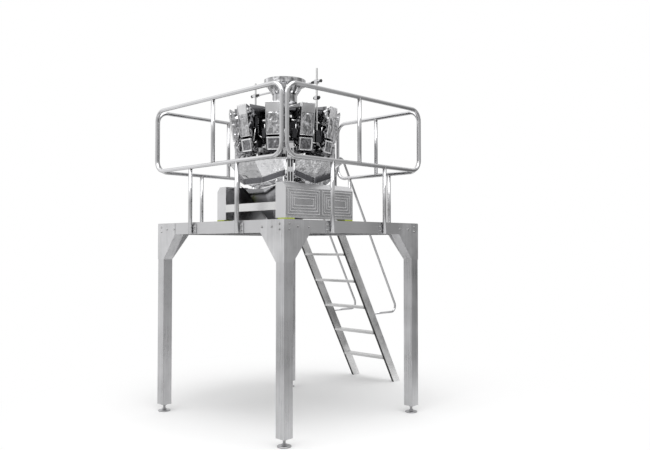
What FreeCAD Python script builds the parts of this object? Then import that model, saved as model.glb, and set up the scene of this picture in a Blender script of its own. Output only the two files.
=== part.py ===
import FreeCAD, Part
import math
import os
import Sketcher

# A ten-head multihead weigher on its own support platform, in millimetres.
# +Z is up, the floor is Z = 0, and the origin is under the middle of the whole
# machine's footprint.  The ladder leaves the platform towards +X, and the
# weigher's covered base boxes run along X at its front (-Y) and back (+Y).

SIZES = {
    # Support platform
    "platform_length": 1800,
    "platform_width": 1900,
    "deck_height": 1880,
    "deck_thickness": 4,
    "deck_hole_radius": 160,
    "leg_side": 100,
    "leg_wall": 3,
    "foot_height": 70,
    "foot_radius": 60,
    "foot_plate": 12,
    "foot_stud_radius": 12,
    "beam_depth": 106,
    "beam_flange": 50,
    "beam_wall": 4,
    "gusset_reach": 200,
    "gusset_drop": 250,
    "gusset_plate": 3,
    "gusset_inset": 2,
    "joist_spread": 890,
    # Guard rails
    "rail_radius": 19,
    "tube_sides": 12,
    "rail_standoff": 7,
    "rail_corner_gap": 4,
    "rail_bend": 110,
    "rail_top": 1137,
    "rail_low": 526,
    "post_spread": 710,
    "side_rail_end": 183,
    "side_post_near": -560,
    "side_post_far": 0,
    "bracket_lead": 66,
    "bracket_tail": 22,
    "bracket_height": 90,
    # Ladder
    "ladder_width": 690,
    "ladder_run": 1030,
    "ladder_header": 30,
    "stringer_depth": 100,
    "stringer_wall": 30,
    "tread_count": 5,
    "tread_depth": 120,
    "tread_thickness": 25,
    "handrail_radius": 13,
    "handrail_bend": 70,
    "handrail_low": 850,
    "handrail_standoff": 500,
    # Weigher base
    "weigher_offset": -40,
    "base_length": 900,
    "base_width": 1030,
    "base_box_depth": 140,
    "base_box_height": 330,
    "base_shoulder_drop": 47,
    "base_shoulder_depth": 40,
    "pad_height": 35,
    "pad_side": 110,
    "cover_height": 258,
    "cover_gap": 8,
    "cover_thickness": 4,
    "cross_height": 75,
    "cross_thickness": 40,
    "cross_rise": 75,
    "cover_lift": 20,
    "cover_margin": 26,
    "cover_pitch": 34,
    "cover_rib": 10,
    # Weigher body.  Its heights, and those below, count from the base boxes' top.
    "head_count": 10,
    "column_width": 60,
    "column_depth": 40,
    "column_radius": 490,
    "spider_rise": 375,
    "spider_thickness": 20,
    "drum_apothem": 300,
    "drum_height": 240,
    "drum_lid": 12,
    "lid_overhang": 30,
    # Heads
    "hopper_width": 140,
    "sheet": 2,
    "mouth_allowance": 10,
    "feed_top": 760,
    "feed_top_radius": 555,
    "feed_bottom": 455,
    "feed_bottom_radius": 507,
    "feed_inner_radius": 428,
    "feed_inner_top": 695,
    "weigh_top": 435,
    "weigh_top_radius": 500,
    "weigh_bottom": 315,
    "weigh_bottom_radius": 478,
    "weigh_inner_radius": 400,
    "gate_drop": 18,
    "actuator_width": 100,
    "actuator_depth": 92,
    "actuator_clearance": 20,
    "arm_thickness": 20,
    "feed_arm_drop": 80,
    "weigh_arm_drop": 30,
    "pan_inner_radius": 160,
    "pan_outer_radius": 505,
    "pan_neck_radius": 240,
    "pan_inner_width": 90,
    "pan_width": 130,
    "pan_depth": 58,
    "vibrator_height": 58,
    "vibrator_width": 66,
    "vibrator_length": 110,
    "cone_radius": 178,
    "cone_height": 85,
    "cone_lift": 6,
    # Discharge
    "chute_top": 235,
    "chute_top_apothem": 545,
    "chute_fall": 170,
    "chute_rim_radius": 430,
    "chute_rim_reach": 485,
    "chute_lip": 60,
    "chute_gap": 3,
    "chute_sheet": 3,
    "column_clearance": 15,
    "ring_width": 6,
    "ring_height": 16,
    "ring_stub": 40,
    "funnel_rim_radius": 410,
    "funnel_clearance": 3,
    "funnel_side_clearance": 15,
    "funnel_crest": 22,
    "funnel_fall": 444,
    "funnel_sheet": 4,
    "hanger_spread": 180,
    "hanger_width": 40,
    "hanger_lap": 25,
    "hanger_leg": 30,
    "hanger_sheet": 3,
    "spout_radius": 100,
    "spout_drop": 260,
    # Infeed
    "infeed_radius": 211,
    "infeed_top": 1077,
    "infeed_rim": 52,
    "infeed_step": 8,
    "infeed_shoulder_radius": 180,
    "infeed_neck_radius": 125,
    "infeed_neck_top": 925,
    "infeed_neck": 70,
    "slot_count": 16,
    "slot_width": 22,
    "slot_foot": 12,
    "slot_head": 14,
    "rod_radius": 10,
    "rod_spread": 920,
    "rod_sleeve": 117,
    "rod_top": 1125,
    "arm_lift": 70,
    "arm_radius": 11,
    "arm_overhang": 45,
    "clamp_side": 36,
    "stop_drop": 157,
    "seat_gap": 0.3,
    "knob_radius": 17,
    "knob_length": 20,
}

doc = FreeCAD.newDocument("MultiheadWeigher")
sheet = doc.addObject("Spreadsheet::Sheet", "Sizes")
for row, (alias, number) in enumerate(SIZES.items(), start=1):
    sheet.set(f"A{row}", alias)
    sheet.set(f"B{row}", str(number))
    sheet.setAlias(f"B{row}", alias)
doc.recompute()


class Size:
    """A length that carries its number and the sheet expression behind it."""

    def __init__(self, text, number):
        self.text = text
        self.number = number

    def join(self, sign, other, number):
        return Size(f"({self.text} {sign} {as_size(other).text})", number)

    def __add__(self, other):
        return self.join("+", other, self.number + as_size(other).number)

    def __radd__(self, other):
        return as_size(other) + self

    def __sub__(self, other):
        return self.join("-", other, self.number - as_size(other).number)

    def __rsub__(self, other):
        return as_size(other) - self

    def __mul__(self, other):
        return self.join("*", other, self.number * as_size(other).number)

    def __rmul__(self, other):
        return as_size(other) * self

    def __truediv__(self, other):
        return self.join("/", other, self.number / as_size(other).number)

    def __rtruediv__(self, other):
        return as_size(other) / self

    def __neg__(self):
        return Size(f"(0 - {self.text})", -self.number)


def as_size(value):
    return value if isinstance(value, Size) else Size(repr(float(value)), float(value))


def root(value):
    return Size(f"sqrt({value.text})", math.sqrt(value.number))


def turn(function, value):
    """sin, cos or tan of an angle in degrees."""
    number = getattr(math, function)(math.radians(value.number))
    return Size(f"{function}({value.text} * 1 deg)", number)


def angle_of(slope):
    """The angle, in degrees, whose tangent is a size."""
    return Size(f"(atan({slope.text}) / 1 deg)", math.degrees(math.atan(slope.number)))


class Sheet:
    """Reads a named size of the sheet as a Size."""

    def __getattr__(self, alias):
        return Size(f"Sizes.{alias}", float(sheet.get(alias)))


S = Sheet()
X_AXIS = FreeCAD.Vector(1, 0, 0)
Y_AXIS = FreeCAD.Vector(0, 1, 0)
Z_AXIS = FreeCAD.Vector(0, 0, 1)
LEVEL = FreeCAD.Rotation()
NODES = []


def bind(thing, **sizes):
    for name, value in sizes.items():
        thing.setExpression(name, as_size(value).text)
    return thing


def place(thing, x=0, y=0, z=0, rotation=LEVEL):
    """Sets a piece down, with its position bound to the sheet."""
    base = FreeCAD.Vector(*(as_size(value).number for value in (x, y, z)))
    thing.Placement = FreeCAD.Placement(base, rotation)
    for axis, value in zip("xyz", (x, y, z)):
        thing.setExpression(f"Placement.Base.{axis}", as_size(value).text)
    return thing


def node(thing, label):
    """Names a finished sub-part, which becomes one file."""
    thing.Label = label
    NODES.append(thing)
    return thing


def box(low, size, label="box"):
    """A block from its low corner and its three sides."""
    block = doc.addObject("Part::Box", label)
    bind(block, Length=size[0], Width=size[1], Height=size[2])
    return place(block, *low)


def cylinder(radius, height, at, rotation=LEVEL, label="round"):
    rod = doc.addObject("Part::Cylinder", label)
    bind(rod, Radius=radius, Height=height)
    return place(rod, *at, rotation)


def bar(radius, length, at, rotation=LEVEL):
    """A straight many-sided bar, round to the eye."""
    rod = doc.addObject("Part::Prism", "bar")
    rod.Polygon = int(S.tube_sides.number)
    bind(rod, Circumradius=radius, Height=length)
    return place(rod, *at, rotation)


def elbow(bend, radius, sweep, centre, first, second):
    """A bent bar: part of a ring about its centre, from one direction towards another."""
    outline = doc.addObject("Part::RegularPolygon", "outline")
    outline.Polygon = int(S.tube_sides.number)
    bind(outline, Circumradius=radius)
    place(outline, bend, 0, 0, FreeCAD.Rotation(X_AXIS, 90))
    ring = doc.addObject("Part::Revolution", "elbow")
    ring.Source = outline
    ring.Axis = Z_AXIS
    ring.Base = FreeCAD.Vector()
    ring.Solid = True
    bind(ring, Angle=sweep)
    return place(ring, *centre, FreeCAD.Rotation(first, second, first.cross(second), "XZY"))


def cut(base, *tools):
    result = doc.addObject("Part::Cut", "cut")
    result.Base = base
    result.Tool = tools[0] if len(tools) == 1 else fuse(*tools)
    return result


def fuse(*parts):
    result = doc.addObject("Part::MultiFuse", "fuse")
    result.Shapes = list(parts)
    result.Refine = True
    return result


def together(*parts):
    """Several separate solids in one sub-part."""
    result = doc.addObject("Part::Compound", "set")
    result.Links = list(parts)
    return result


def new_body(x=0, y=0, z=0, rotation=LEVEL):
    return place(doc.addObject("PartDesign::Body", "body"), x, y, z, rotation)


def datum(body, role):
    return next(item for item in body.Origin.OriginFeatures if item.Role == role)


def new_sketch(body, plane, offset=0):
    sketch = body.newObject("Sketcher::SketchObject", "sketch")
    sketch.AttachmentSupport = [(datum(body, plane), "")]
    sketch.MapMode = "FlatFace"
    sketch.setExpression("AttachmentOffset.Base.z", as_size(offset).text)
    return sketch


def pin_point(sketch, geometry, end, point):
    """Holds one point of a sketch at a pair of sizes from its origin."""
    for kind, value in zip(("DistanceX", "DistanceY"), point):
        size = as_size(value)
        number = sketch.addConstraint(Sketcher.Constraint(kind, -1, 1, geometry, end, size.number))
        sketch.setExpression(f"Constraints[{number}]", size.text)


def draw_outline(sketch, points):
    """A closed outline of straight lines through the given points."""
    corners = [FreeCAD.Vector(as_size(a).number, as_size(b).number, 0) for a, b in points]
    first = sketch.GeometryCount
    count = len(points)
    for index, corner in enumerate(corners):
        sketch.addGeometry(Part.LineSegment(corner, corners[(index + 1) % count]))
    for index in range(count):
        following = first + (index + 1) % count
        sketch.addConstraint(Sketcher.Constraint("Coincident", first + index, 2, following, 1))
    for index, point in enumerate(points):
        pin_point(sketch, first + index, 1, point)
    return sketch


def sweep_straight(kind, body, sketch, length, middle=False, backwards=False):
    feature = body.newObject(f"PartDesign::{kind}", kind.lower())
    feature.Profile = sketch
    bind(feature, Length=length)
    feature.SideType = "Symmetric" if middle else "One side"
    feature.Reversed = backwards
    return feature


def pad(body, sketch, length, **options):
    return sweep_straight("Pad", body, sketch, length, **options)


def pocket(body, sketch, length, **options):
    return sweep_straight("Pocket", body, sketch, length, **options)


def revolve(body, sketch):
    feature = body.newObject("PartDesign::Revolution", "revolution")
    feature.Profile = sketch
    feature.ReferenceAxis = (datum(body, "Z_Axis"), [""])
    feature.Angle = 360
    return feature


def all_heads(body, count, originals=()):
    """Repeats a body, or some of its features, round the Z axis."""
    doc.recompute()
    pattern = body.newObject("PartDesign::PolarPattern", "pattern")
    if originals:
        pattern.Originals = list(originals)
    else:
        pattern.TransformMode = "Whole shape"
    pattern.Axis = (datum(body, "Z_Axis"), [""])
    pattern.Angle = 360
    bind(pattern, Occurrences=count)
    body.Tip = pattern
    return pattern


# Places that many pieces share ------------------------------------------------

half_length = S.platform_length / 2
half_width = S.platform_width / 2
rail_offset = S.rail_radius + S.rail_standoff
ladder_slope = S.ladder_run / S.deck_height
stringer_run = S.stringer_depth * root(1 + ladder_slope * ladder_slope)
ladder_reach = half_length + S.gusset_plate + S.ladder_run + stringer_run
platform_reach = S.platform_length / 2 + rail_offset + S.rail_radius
middle_x = (platform_reach - ladder_reach) / 2
axis_x = middle_x + S.weigher_offset
beam_top = S.deck_height - S.deck_thickness
beam_low = beam_top - S.beam_depth
base_low = S.deck_height + S.pad_height
base_top = base_low + S.base_box_height
drum_low = S.spider_rise + S.spider_thickness
drum_top = drum_low + S.drum_height
handrail_y = S.side_rail_end + S.rail_radius + S.handrail_radius
half_head = 180 / S.head_count
edge_per_apothem = 1 / turn("cos", half_head)

CORNERS = {"front_left": (-1, -1), "front_right": (1, -1), "back_left": (-1, 1), "back_right": (1, 1)}


def outer(sign, half, depth):
    """Low side of a piece of some depth that ends flush with +half or -half."""
    return half - depth if sign > 0 else -half


# Support platform ---------------------------------------------------------------

def build_legs():
    """Square tubes, closed by a foot plate below and by the deck above."""
    feet = []
    for name, (sx, sy) in CORNERS.items():
        x = middle_x + outer(sx, half_length, S.leg_side)
        y = outer(sy, half_width, S.leg_side)
        height = beam_top - S.foot_height
        tube = box((x, y, S.foot_height), (S.leg_side, S.leg_side, height))
        inner = S.leg_side - 2 * S.leg_wall
        core = box((x + S.leg_wall, y + S.leg_wall, S.foot_height + 2 * S.leg_wall),
                   (inner, inner, height))
        node(cut(tube, core), f"leg_{name}")
        feet.append(build_foot(x + S.leg_side / 2, y + S.leg_side / 2))
    node(together(*feet), "levelling_feet")


def build_foot(x, y):
    """A round foot plate with its hub, a stud and the lock nut under the leg."""
    hub = 2 * S.foot_stud_radius
    return fuse(bar(S.foot_radius, S.foot_plate, (x, y, 0)),
                bar(hub, 2 * S.foot_plate, (x, y, 0)),
                bar(S.foot_stud_radius, S.foot_height, (x, y, 0)),
                bar(hub, S.foot_plate, (x, y, S.foot_height - S.foot_plate)))


def channel(label, at, rotation, depth, flange, wall, length):
    """A folded channel: its web is the local YZ plane and its run is local Y."""
    body = new_body(*at, rotation)
    profile = [(0, 0), (flange, 0), (flange, wall), (wall, wall), (wall, depth - wall),
               (flange, depth - wall), (flange, depth), (0, depth)]
    pad(body, draw_outline(new_sketch(body, "XZ_Plane"), profile), length, backwards=True)
    body.Label = label
    return body


def build_beams():
    """Channels between the legs, webs outwards."""
    run_x = S.platform_length - 2 * S.leg_side
    run_y = S.platform_width - 2 * S.leg_side
    section = (S.beam_depth, S.beam_flange, S.beam_wall)
    inset_x = half_length - S.leg_side
    inset_y = half_width - S.leg_side
    spin = FreeCAD.Rotation(Z_AXIS, 90)
    back = FreeCAD.Rotation(Z_AXIS, 180)
    third = FreeCAD.Rotation(Z_AXIS, 270)
    node(channel("a", (middle_x - half_length, -inset_y, beam_low), LEVEL, *section, run_y), "beam_left")
    node(channel("b", (middle_x + inset_x, -half_width, beam_low), spin, *section, run_x), "beam_front")
    node(channel("c", (middle_x + half_length, inset_y, beam_low), back, *section, run_y), "beam_right")
    node(channel("d", (middle_x - inset_x, half_width, beam_low), third, *section, run_x), "beam_back")
    joists = []
    joist_run = S.platform_length - 2 * S.beam_wall
    for sign, rotation in ((-1, spin), (1, third)):
        start = middle_x - sign * (half_length - S.beam_wall)
        joist_depth = S.beam_depth - 2 * S.beam_wall
        joists.append(channel("joist", (start, sign * S.joist_spread / 2, beam_low + S.beam_wall),
                              rotation, joist_depth, S.beam_flange, S.beam_wall, joist_run))
    node(together(*joists), "deck_joists")


def build_gussets():
    """Folded corner gussets: a flared cover on both outer faces of each leg."""
    gussets = []
    for sx, sy in CORNERS.values():
        face = [(0, beam_top), (S.leg_side + S.gusset_reach, beam_top),
                (S.leg_side + S.gusset_reach, beam_low), (S.leg_side, beam_low - S.gusset_drop),
                (0, beam_low - S.gusset_drop)]
        wedge = [(S.leg_side, beam_low), (S.leg_side + S.gusset_reach, beam_low),
                 (S.leg_side, beam_low - S.gusset_drop)]
        parts = []
        x = middle_x + sx * half_length
        y = sy * half_width
        for plane, run, across, at, flip in (("XZ_Plane", -sx, -sy, (x, y, 0), False),
                                             ("YZ_Plane", -sy, -sx, (x, y, 0), True)):
            for outline, depth, outside in ((face, S.gusset_plate, True),
                                            (wedge, S.leg_side - S.gusset_inset, False)):
                body = new_body(*at)
                points = [(run * a, b) for a, b in outline]
                sketch = draw_outline(new_sketch(body, plane), points)
                inward = (across > 0) == (plane == "YZ_Plane")
                pad(body, sketch, depth, backwards=(not inward) != outside)
                parts.append(body)
        corner = box((x - S.gusset_plate if sx < 0 else x, y - S.gusset_plate if sy < 0 else y,
                      beam_low - S.gusset_drop),
                     (S.gusset_plate, S.gusset_plate, S.beam_depth + S.gusset_drop))
        gussets.append(fuse(*parts, corner))
    node(together(*gussets), "corner_gussets")


def build_deck():
    """The checker-plate deck, with the hole that the discharge spout drops through."""
    plate = box((middle_x - half_length, -half_width, beam_top),
                (S.platform_length, S.platform_width, S.deck_thickness))
    hole = cylinder(S.deck_hole_radius, S.deck_thickness, (axis_x, 0, beam_top))
    node(cut(plate, hole), "deck_plate")


def guard_rail(label, along, start, end, face, posts):
    """A bent tube loop with its middle bar, and two posts down over the beam."""
    low = S.deck_height + S.rail_low
    top = S.deck_height + S.rail_top
    bend = S.rail_bend
    upright = FreeCAD.Rotation(X_AXIS, along)
    level = upright * FreeCAD.Rotation(Z_AXIS, X_AXIS)

    def at(run, z):
        return (run, face, z) if along == X_AXIS else (face, run, z)

    tubes = [bar(S.rail_radius, end - start - 2 * bend, at(start + bend, z), level)
             for z in (low, top)]
    tubes += [bar(S.rail_radius, top - low - 2 * bend, at(run, low + bend), upright)
              for run in (start, end)]
    tubes.append(bar(S.rail_radius, top - low, at((start + end) / 2, low), upright))
    tubes += [bar(S.rail_radius, low - beam_low, at(run, beam_low), upright) for run in posts]
    for run, side in ((start + bend, -along), (end - bend, along)):
        for z, up in ((low + bend, -Z_AXIS), (top - bend, Z_AXIS)):
            tubes.append(elbow(bend, S.rail_radius, 90, at(run, z), side, up))
    return node(fuse(*tubes), label)


def build_rails():
    """Guard rails on all four sides, each on brackets that stand off the beam."""
    gap = S.rail_corner_gap
    half = S.post_spread / 2
    thin = S.rail_standoff
    run_x = (middle_x - half_length + gap, middle_x + half_length - gap)
    run_y = (gap - half_width, half_width - gap)
    run_side = (gap - half_width, S.side_rail_end)
    posts_x = (middle_x - half, middle_x + half)
    posts_side = (S.side_post_near, S.side_post_far)
    left = middle_x - half_length
    right = middle_x + half_length
    sides = (("left", Y_AXIS, run_y, left - rail_offset, (-half, half), left - thin),
             ("front", X_AXIS, run_x, -half_width - rail_offset, posts_x, -half_width - thin),
             ("right", Y_AXIS, run_side, right + rail_offset, posts_side, right),
             ("back", X_AXIS, run_x, half_width + rail_offset, posts_x, half_width))
    brackets = []
    width = S.bracket_lead + S.bracket_tail
    for name, along, (start, end), face, posts, seat in sides:
        guard_rail(f"guard_rail_{name}", along, start, end, face, posts)
        for post in posts:
            low = post - S.bracket_lead
            if along == X_AXIS:
                brackets.append(box((low, seat, beam_low), (width, thin, S.bracket_height)))
            else:
                brackets.append(box((seat, low, beam_low), (thin, width, S.bracket_height)))
    node(together(*brackets), "rail_brackets")


# Ladder ---------------------------------------------------------------------------

def build_ladder():
    """Two inclined stringers, flat treads between them and two bent handrails."""
    head_x = middle_x + half_length + S.gusset_plate
    front = handrail_y - S.stringer_wall / 2
    back = front + S.ladder_width - S.stringer_wall
    seat = ladder_slope * (S.deck_height - beam_low)
    outline = [(0, S.deck_height), (0, beam_low), (seat, beam_low), (S.ladder_run, 0),
               (S.ladder_run + stringer_run, 0), (stringer_run, S.deck_height)]
    sides = []
    for y in (front, back):
        body = new_body(head_x, y, 0)
        pad(body, draw_outline(new_sketch(body, "XZ_Plane"), outline), S.stringer_wall, backwards=True)
        sides.append(body)
    node(together(*sides), "ladder_stringers")
    header_low = front - S.ladder_header
    header_run = half_width - S.leg_side - S.gusset_reach - header_low
    node(box((middle_x + half_length, header_low, beam_low), (S.gusset_plate, header_run, S.beam_depth)),
         "ladder_header")
    treads = []
    rise = S.deck_height / (S.tread_count + 1)
    for step in range(int(S.tread_count.number)):
        z = rise * (step + 1)
        x = head_x + (S.deck_height - z) * ladder_slope + (stringer_run - S.tread_depth) / 2
        treads.append(box((x, front + S.stringer_wall, z - S.tread_thickness),
                          (S.tread_depth, S.ladder_width - 2 * S.stringer_wall, S.tread_thickness)))
    node(together(*treads), "ladder_treads")
    rails = [handrail(head_x, y + S.stringer_wall / 2, side) for y, side in zip((front, back), sides)]
    node(together(*rails), "ladder_handrails")


def handrail(head_x, y, stringer):
    """A bent tube: up from the stringer's head, over, down beside the ladder and back to it."""
    radius = S.handrail_radius
    bend = S.handrail_bend
    lean = angle_of(ladder_slope)
    across = turn("cos", lean)
    rise = turn("sin", lean)
    riser_x = head_x + rail_offset - S.gusset_plate

    def line_x(z):
        return head_x + stringer_run / 2 + S.handrail_standoff + (S.deck_height - z) * ladder_slope

    leave_x = riser_x + bend * (1 + across)
    leave_z = S.deck_height - (leave_x - line_x(S.deck_height)) / ladder_slope
    crown_z = leave_z - bend * rise
    enter_z = S.handrail_low + bend * (1 + rise)
    foot_x = line_x(enter_z) - bend * across
    riser = bar(radius, crown_z - S.deck_height, (riser_x, y, S.deck_height))
    crown = elbow(bend, radius, 180 - lean, (riser_x + bend, y, crown_z), -X_AXIS, Z_AXIS)
    slope = bar(radius, (leave_z - enter_z) / across, (line_x(enter_z), y, enter_z),
                     FreeCAD.Rotation(-Y_AXIS, lean.number))
    slope.setExpression("Placement.Rotation.Angle", f"{lean.text} * 1 deg")
    turn_back = elbow(bend, radius, 90 + lean, (foot_x, y, S.handrail_low + bend), -Z_AXIS, X_AXIS)
    stub_x = head_x + stringer_run / 2 + (S.deck_height - S.handrail_low) * ladder_slope
    stub = bar(radius, foot_x - stub_x, (stub_x, y, S.handrail_low), FreeCAD.Rotation(Z_AXIS, X_AXIS))
    return cut(fuse(riser, crown, slope, turn_back, stub), stringer)


# Weigher base -----------------------------------------------------------------------

def build_base():
    """Two long covered boxes joined by cross members, on square pads."""
    x = axis_x - S.base_length / 2
    half = S.base_width / 2
    inner = half - S.base_box_depth
    shoulder = S.base_box_height - S.base_shoulder_drop
    outline = [(0, 0), (0, shoulder), (S.base_shoulder_depth, S.base_box_height),
               (S.base_box_depth, S.base_box_height), (S.base_box_depth, 0)]
    for name, sign in (("front", -1), ("back", 1)):
        body = new_body(x, sign * half, base_low)
        points = [(-sign * a, b) for a, b in outline]
        pad(body, draw_outline(new_sketch(body, "YZ_Plane"), points), S.base_length)
        node(body, f"base_box_{name}")
    covers = []
    cover_length = (S.base_length - 3 * S.cover_gap) / 2
    for sign in (-1, 1):
        for side in (0, 1):
            low_x = x + S.cover_gap + side * (cover_length + S.cover_gap)
            covers.append(pressed_cover(low_x, sign, cover_length, half))
    node(together(*covers), "base_covers")
    crosses = []
    for sign in (-1, 1):
        low_x = axis_x + outer(sign, S.base_length / 2, S.cross_thickness)
        crosses.append(box((low_x, -inner, base_low + S.cross_rise),
                           (S.cross_thickness, 2 * inner, S.cross_height)))
    node(together(*crosses), "base_cross_members")
    pads = []
    for sx, sy in CORNERS.values():
        pads.append(box((axis_x + outer(sx, S.base_length / 2, S.pad_side), outer(sy, half, S.pad_side),
                         S.deck_height), (S.pad_side, S.pad_side, S.pad_height)))
    node(together(*pads), "base_pads")


def pressed_cover(low_x, sign, length, half):
    """A removable cover with stamped rectangles, one stepped inside the other."""
    z = base_low + S.cover_lift
    thickness = S.cover_thickness
    low_y = half if sign > 0 else -half - thickness
    plate = box((low_x, low_y, z), (length, thickness, S.cover_height))
    step = thickness / 2
    block_y = half + thickness - step if sign > 0 else -half - thickness
    rings = []
    for margin in (S.cover_margin, S.cover_margin + S.cover_pitch):
        blocks = []
        for grow in (margin, margin + S.cover_rib):
            blocks.append(box((low_x + grow, block_y, z + grow),
                              (length - 2 * grow, step, S.cover_height - 2 * grow)))
        rings.append(cut(*blocks))
    return cut(plate, *rings)


# Weigher body --------------------------------------------------------------------------

def prism(apothem, height, z):
    """A prism with one flat side facing each head."""
    body = doc.addObject("Part::Prism", "prism")
    body.Polygon = int(S.head_count.number)
    bind(body, Circumradius=apothem * edge_per_apothem, Height=height)
    spin = FreeCAD.Rotation(Z_AXIS, 180 / S.head_count.number)
    return place(body, axis_x, 0, z, spin)


def radial_bar(angle, start, end, width, z, height):
    """A level bar that points away from the weigher's axis."""
    body = new_body(axis_x, 0, z, FreeCAD.Rotation(Z_AXIS, angle))
    outline = [(start, -width / 2), (end, -width / 2), (end, width / 2), (start, width / 2)]
    pad(body, draw_outline(new_sketch(body, "XY_Plane"), outline), height)
    return body


COLUMN_ANGLES = (54, 126, 234, 306)
ROD_ANGLES = (90, 270)


def build_body():
    """Columns on the base boxes, the spider on them and the ten-sided drum."""
    half_depth = S.column_depth / 2
    inner = S.column_radius - half_depth
    outer_radius = S.column_radius + half_depth
    spider = base_top + S.spider_rise
    columns = [radial_bar(angle, inner, outer_radius, S.column_width, base_top, S.spider_rise)
               for angle in COLUMN_ANGLES]
    node(together(*columns), "body_columns")
    plate = prism(S.drum_apothem, S.spider_thickness, spider)
    arms = [radial_bar(angle, 0, outer_radius, S.column_width, spider, S.spider_thickness)
            for angle in COLUMN_ANGLES]
    arms += [radial_bar(angle, 0, S.rod_spread / 2 + S.column_depth / 2, S.column_depth,
                        spider, S.spider_thickness) for angle in ROD_ANGLES]
    node(fuse(plate, *arms), "body_spider")
    drum = prism(S.drum_apothem, S.drum_height, base_top + drum_low)
    lid = prism(S.drum_apothem + S.lid_overhang, S.drum_lid, base_top + drum_top)
    node(fuse(drum, lid), "body_drum")


def head_body():
    """A body on the weigher's axis, level with the base boxes' top, whose X runs along one head."""
    return new_body(axis_x, 0, base_top)


def open_box(label, width, top, bottom, inner_top):
    """A sheet-metal hopper: a side outline with an open core, one to each head."""
    (top_radius, top_z), (low_radius, low_z) = top, bottom
    inner, inner_z = inner_top
    t = S.sheet
    body = head_body()
    outline = [(top_radius, top_z), (inner, inner_z), (inner, low_z), (low_radius, low_z)]
    pad(body, draw_outline(new_sketch(body, "XZ_Plane"), outline), width, middle=True)
    over = top_z + S.mouth_allowance
    under = low_z - S.mouth_allowance
    core = [(top_radius - t, over), (inner + t, over), (inner + t, under), (low_radius - 2 * t, under)]
    pocket(body, draw_outline(new_sketch(body, "XZ_Plane"), core), width - 2 * t, middle=True)
    all_heads(body, S.head_count)
    return node(body, label)


def build_hoppers():
    """Feed hoppers above weigh hoppers, each closed below by a pair of gates."""
    open_box("feed_hoppers", S.hopper_width, (S.feed_top_radius, S.feed_top),
             (S.feed_bottom_radius, S.feed_bottom), (S.feed_inner_radius, S.feed_inner_top))
    open_box("weigh_hoppers", S.hopper_width, (S.weigh_top_radius, S.weigh_top),
             (S.weigh_bottom_radius, S.weigh_bottom), (S.weigh_inner_radius, S.weigh_top))
    for label, inner, outer_radius, z in (
            ("feed_gates", S.feed_inner_radius, S.feed_bottom_radius, S.feed_bottom),
            ("weigh_gates", S.weigh_inner_radius, S.weigh_bottom_radius, S.weigh_bottom)):
        body = head_body()
        middle = (inner + outer_radius) / 2
        outline = [(inner, z), (outer_radius, z), (middle, z - S.gate_drop)]
        pad(body, draw_outline(new_sketch(body, "XZ_Plane"), outline), S.hopper_width, middle=True)
        all_heads(body, S.head_count)
        node(body, label)


def build_actuators():
    """The drive housings on the drum's sides, with the arms that the hoppers hang on."""
    body = head_body()
    end = S.drum_apothem + S.actuator_depth
    top = drum_top - S.actuator_clearance
    outline = [(S.drum_apothem, drum_low), (end, drum_low), (end, top), (S.drum_apothem, top)]
    pad(body, draw_outline(new_sketch(body, "XZ_Plane"), outline), S.actuator_width, middle=True)
    for reach, low in ((S.feed_inner_radius, drum_top - S.feed_arm_drop),
                       (S.weigh_inner_radius, S.weigh_top - S.weigh_arm_drop)):
        high = low + S.arm_thickness
        outline = [(end, low), (reach, low), (reach, high), (end, high)]
        pad(body, draw_outline(new_sketch(body, "XZ_Plane"), outline), S.actuator_width / 2, middle=True)
    all_heads(body, S.head_count)
    node(body, "hopper_actuators")


def build_pans():
    """The vibrators on the drum's lid, the feeder pans on them and the cone in the middle."""
    lid_top = base_top + drum_top + S.drum_lid
    body = new_body(axis_x, 0, lid_top)
    start = S.pan_neck_radius
    end = start + S.vibrator_length
    half = S.vibrator_width / 2
    outline = [(start, -half), (end, -half), (end, half), (start, half)]
    pad(body, draw_outline(new_sketch(body, "XY_Plane"), outline), S.vibrator_height)
    all_heads(body, S.head_count)
    node(body, "pan_vibrators")

    body = new_body(axis_x, 0, lid_top + S.vibrator_height)

    def plan(inset, end):
        a = S.pan_inner_width / 2 - inset
        b = S.pan_width / 2 - inset
        start = S.pan_inner_radius
        return [(start - end, -a), (S.pan_neck_radius, -b), (S.pan_outer_radius + end, -b),
                (S.pan_outer_radius + end, b), (S.pan_neck_radius, b), (start - end, a)]

    pad(body, draw_outline(new_sketch(body, "XY_Plane"), plan(0, 0)), S.pan_depth)
    core = draw_outline(new_sketch(body, "XY_Plane", S.sheet), plan(S.sheet, S.mouth_allowance / 2))
    pocket(body, core, S.pan_depth, backwards=True)
    all_heads(body, S.head_count)
    node(body, "feeder_pans")

    body = new_body(axis_x, 0, lid_top)
    rim = S.vibrator_height + S.pan_depth + S.cone_lift
    post = S.cone_radius / 3
    profile = [(0, 0), (post, 0), (post, rim), (S.cone_radius, rim), (S.cone_radius, rim + S.sheet),
               (0, rim + S.cone_height)]
    revolve(body, draw_outline(new_sketch(body, "XZ_Plane"), profile))
    node(body, "dispersion_cone")


# Discharge --------------------------------------------------------------------------------

def rim_radius(angle, reach, level, side):
    """How far from the axis a funnel's corner stands: furthest at the columns."""
    if angle % 360 in COLUMN_ANGLES:
        return reach
    return side if angle % 360 in ROD_ANGLES else level


def facet_plan(angle, outer_apothem, inner, gaps):
    """Plan of one side of a funnel, between two corners of its inner edge and an outer edge."""
    slant = turn("tan", half_head)
    trims = [gap / turn("cos", half_head) for gap in gaps]
    first, second = [(radius * turn("cos", half_head), radius * turn("sin", half_head)) for radius in inner]
    return [(outer_apothem, trims[0] - outer_apothem * slant), (outer_apothem, outer_apothem * slant - trims[1]),
            (second[0], second[1] - trims[1]), (first[0], trims[0] - first[1])]


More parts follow.
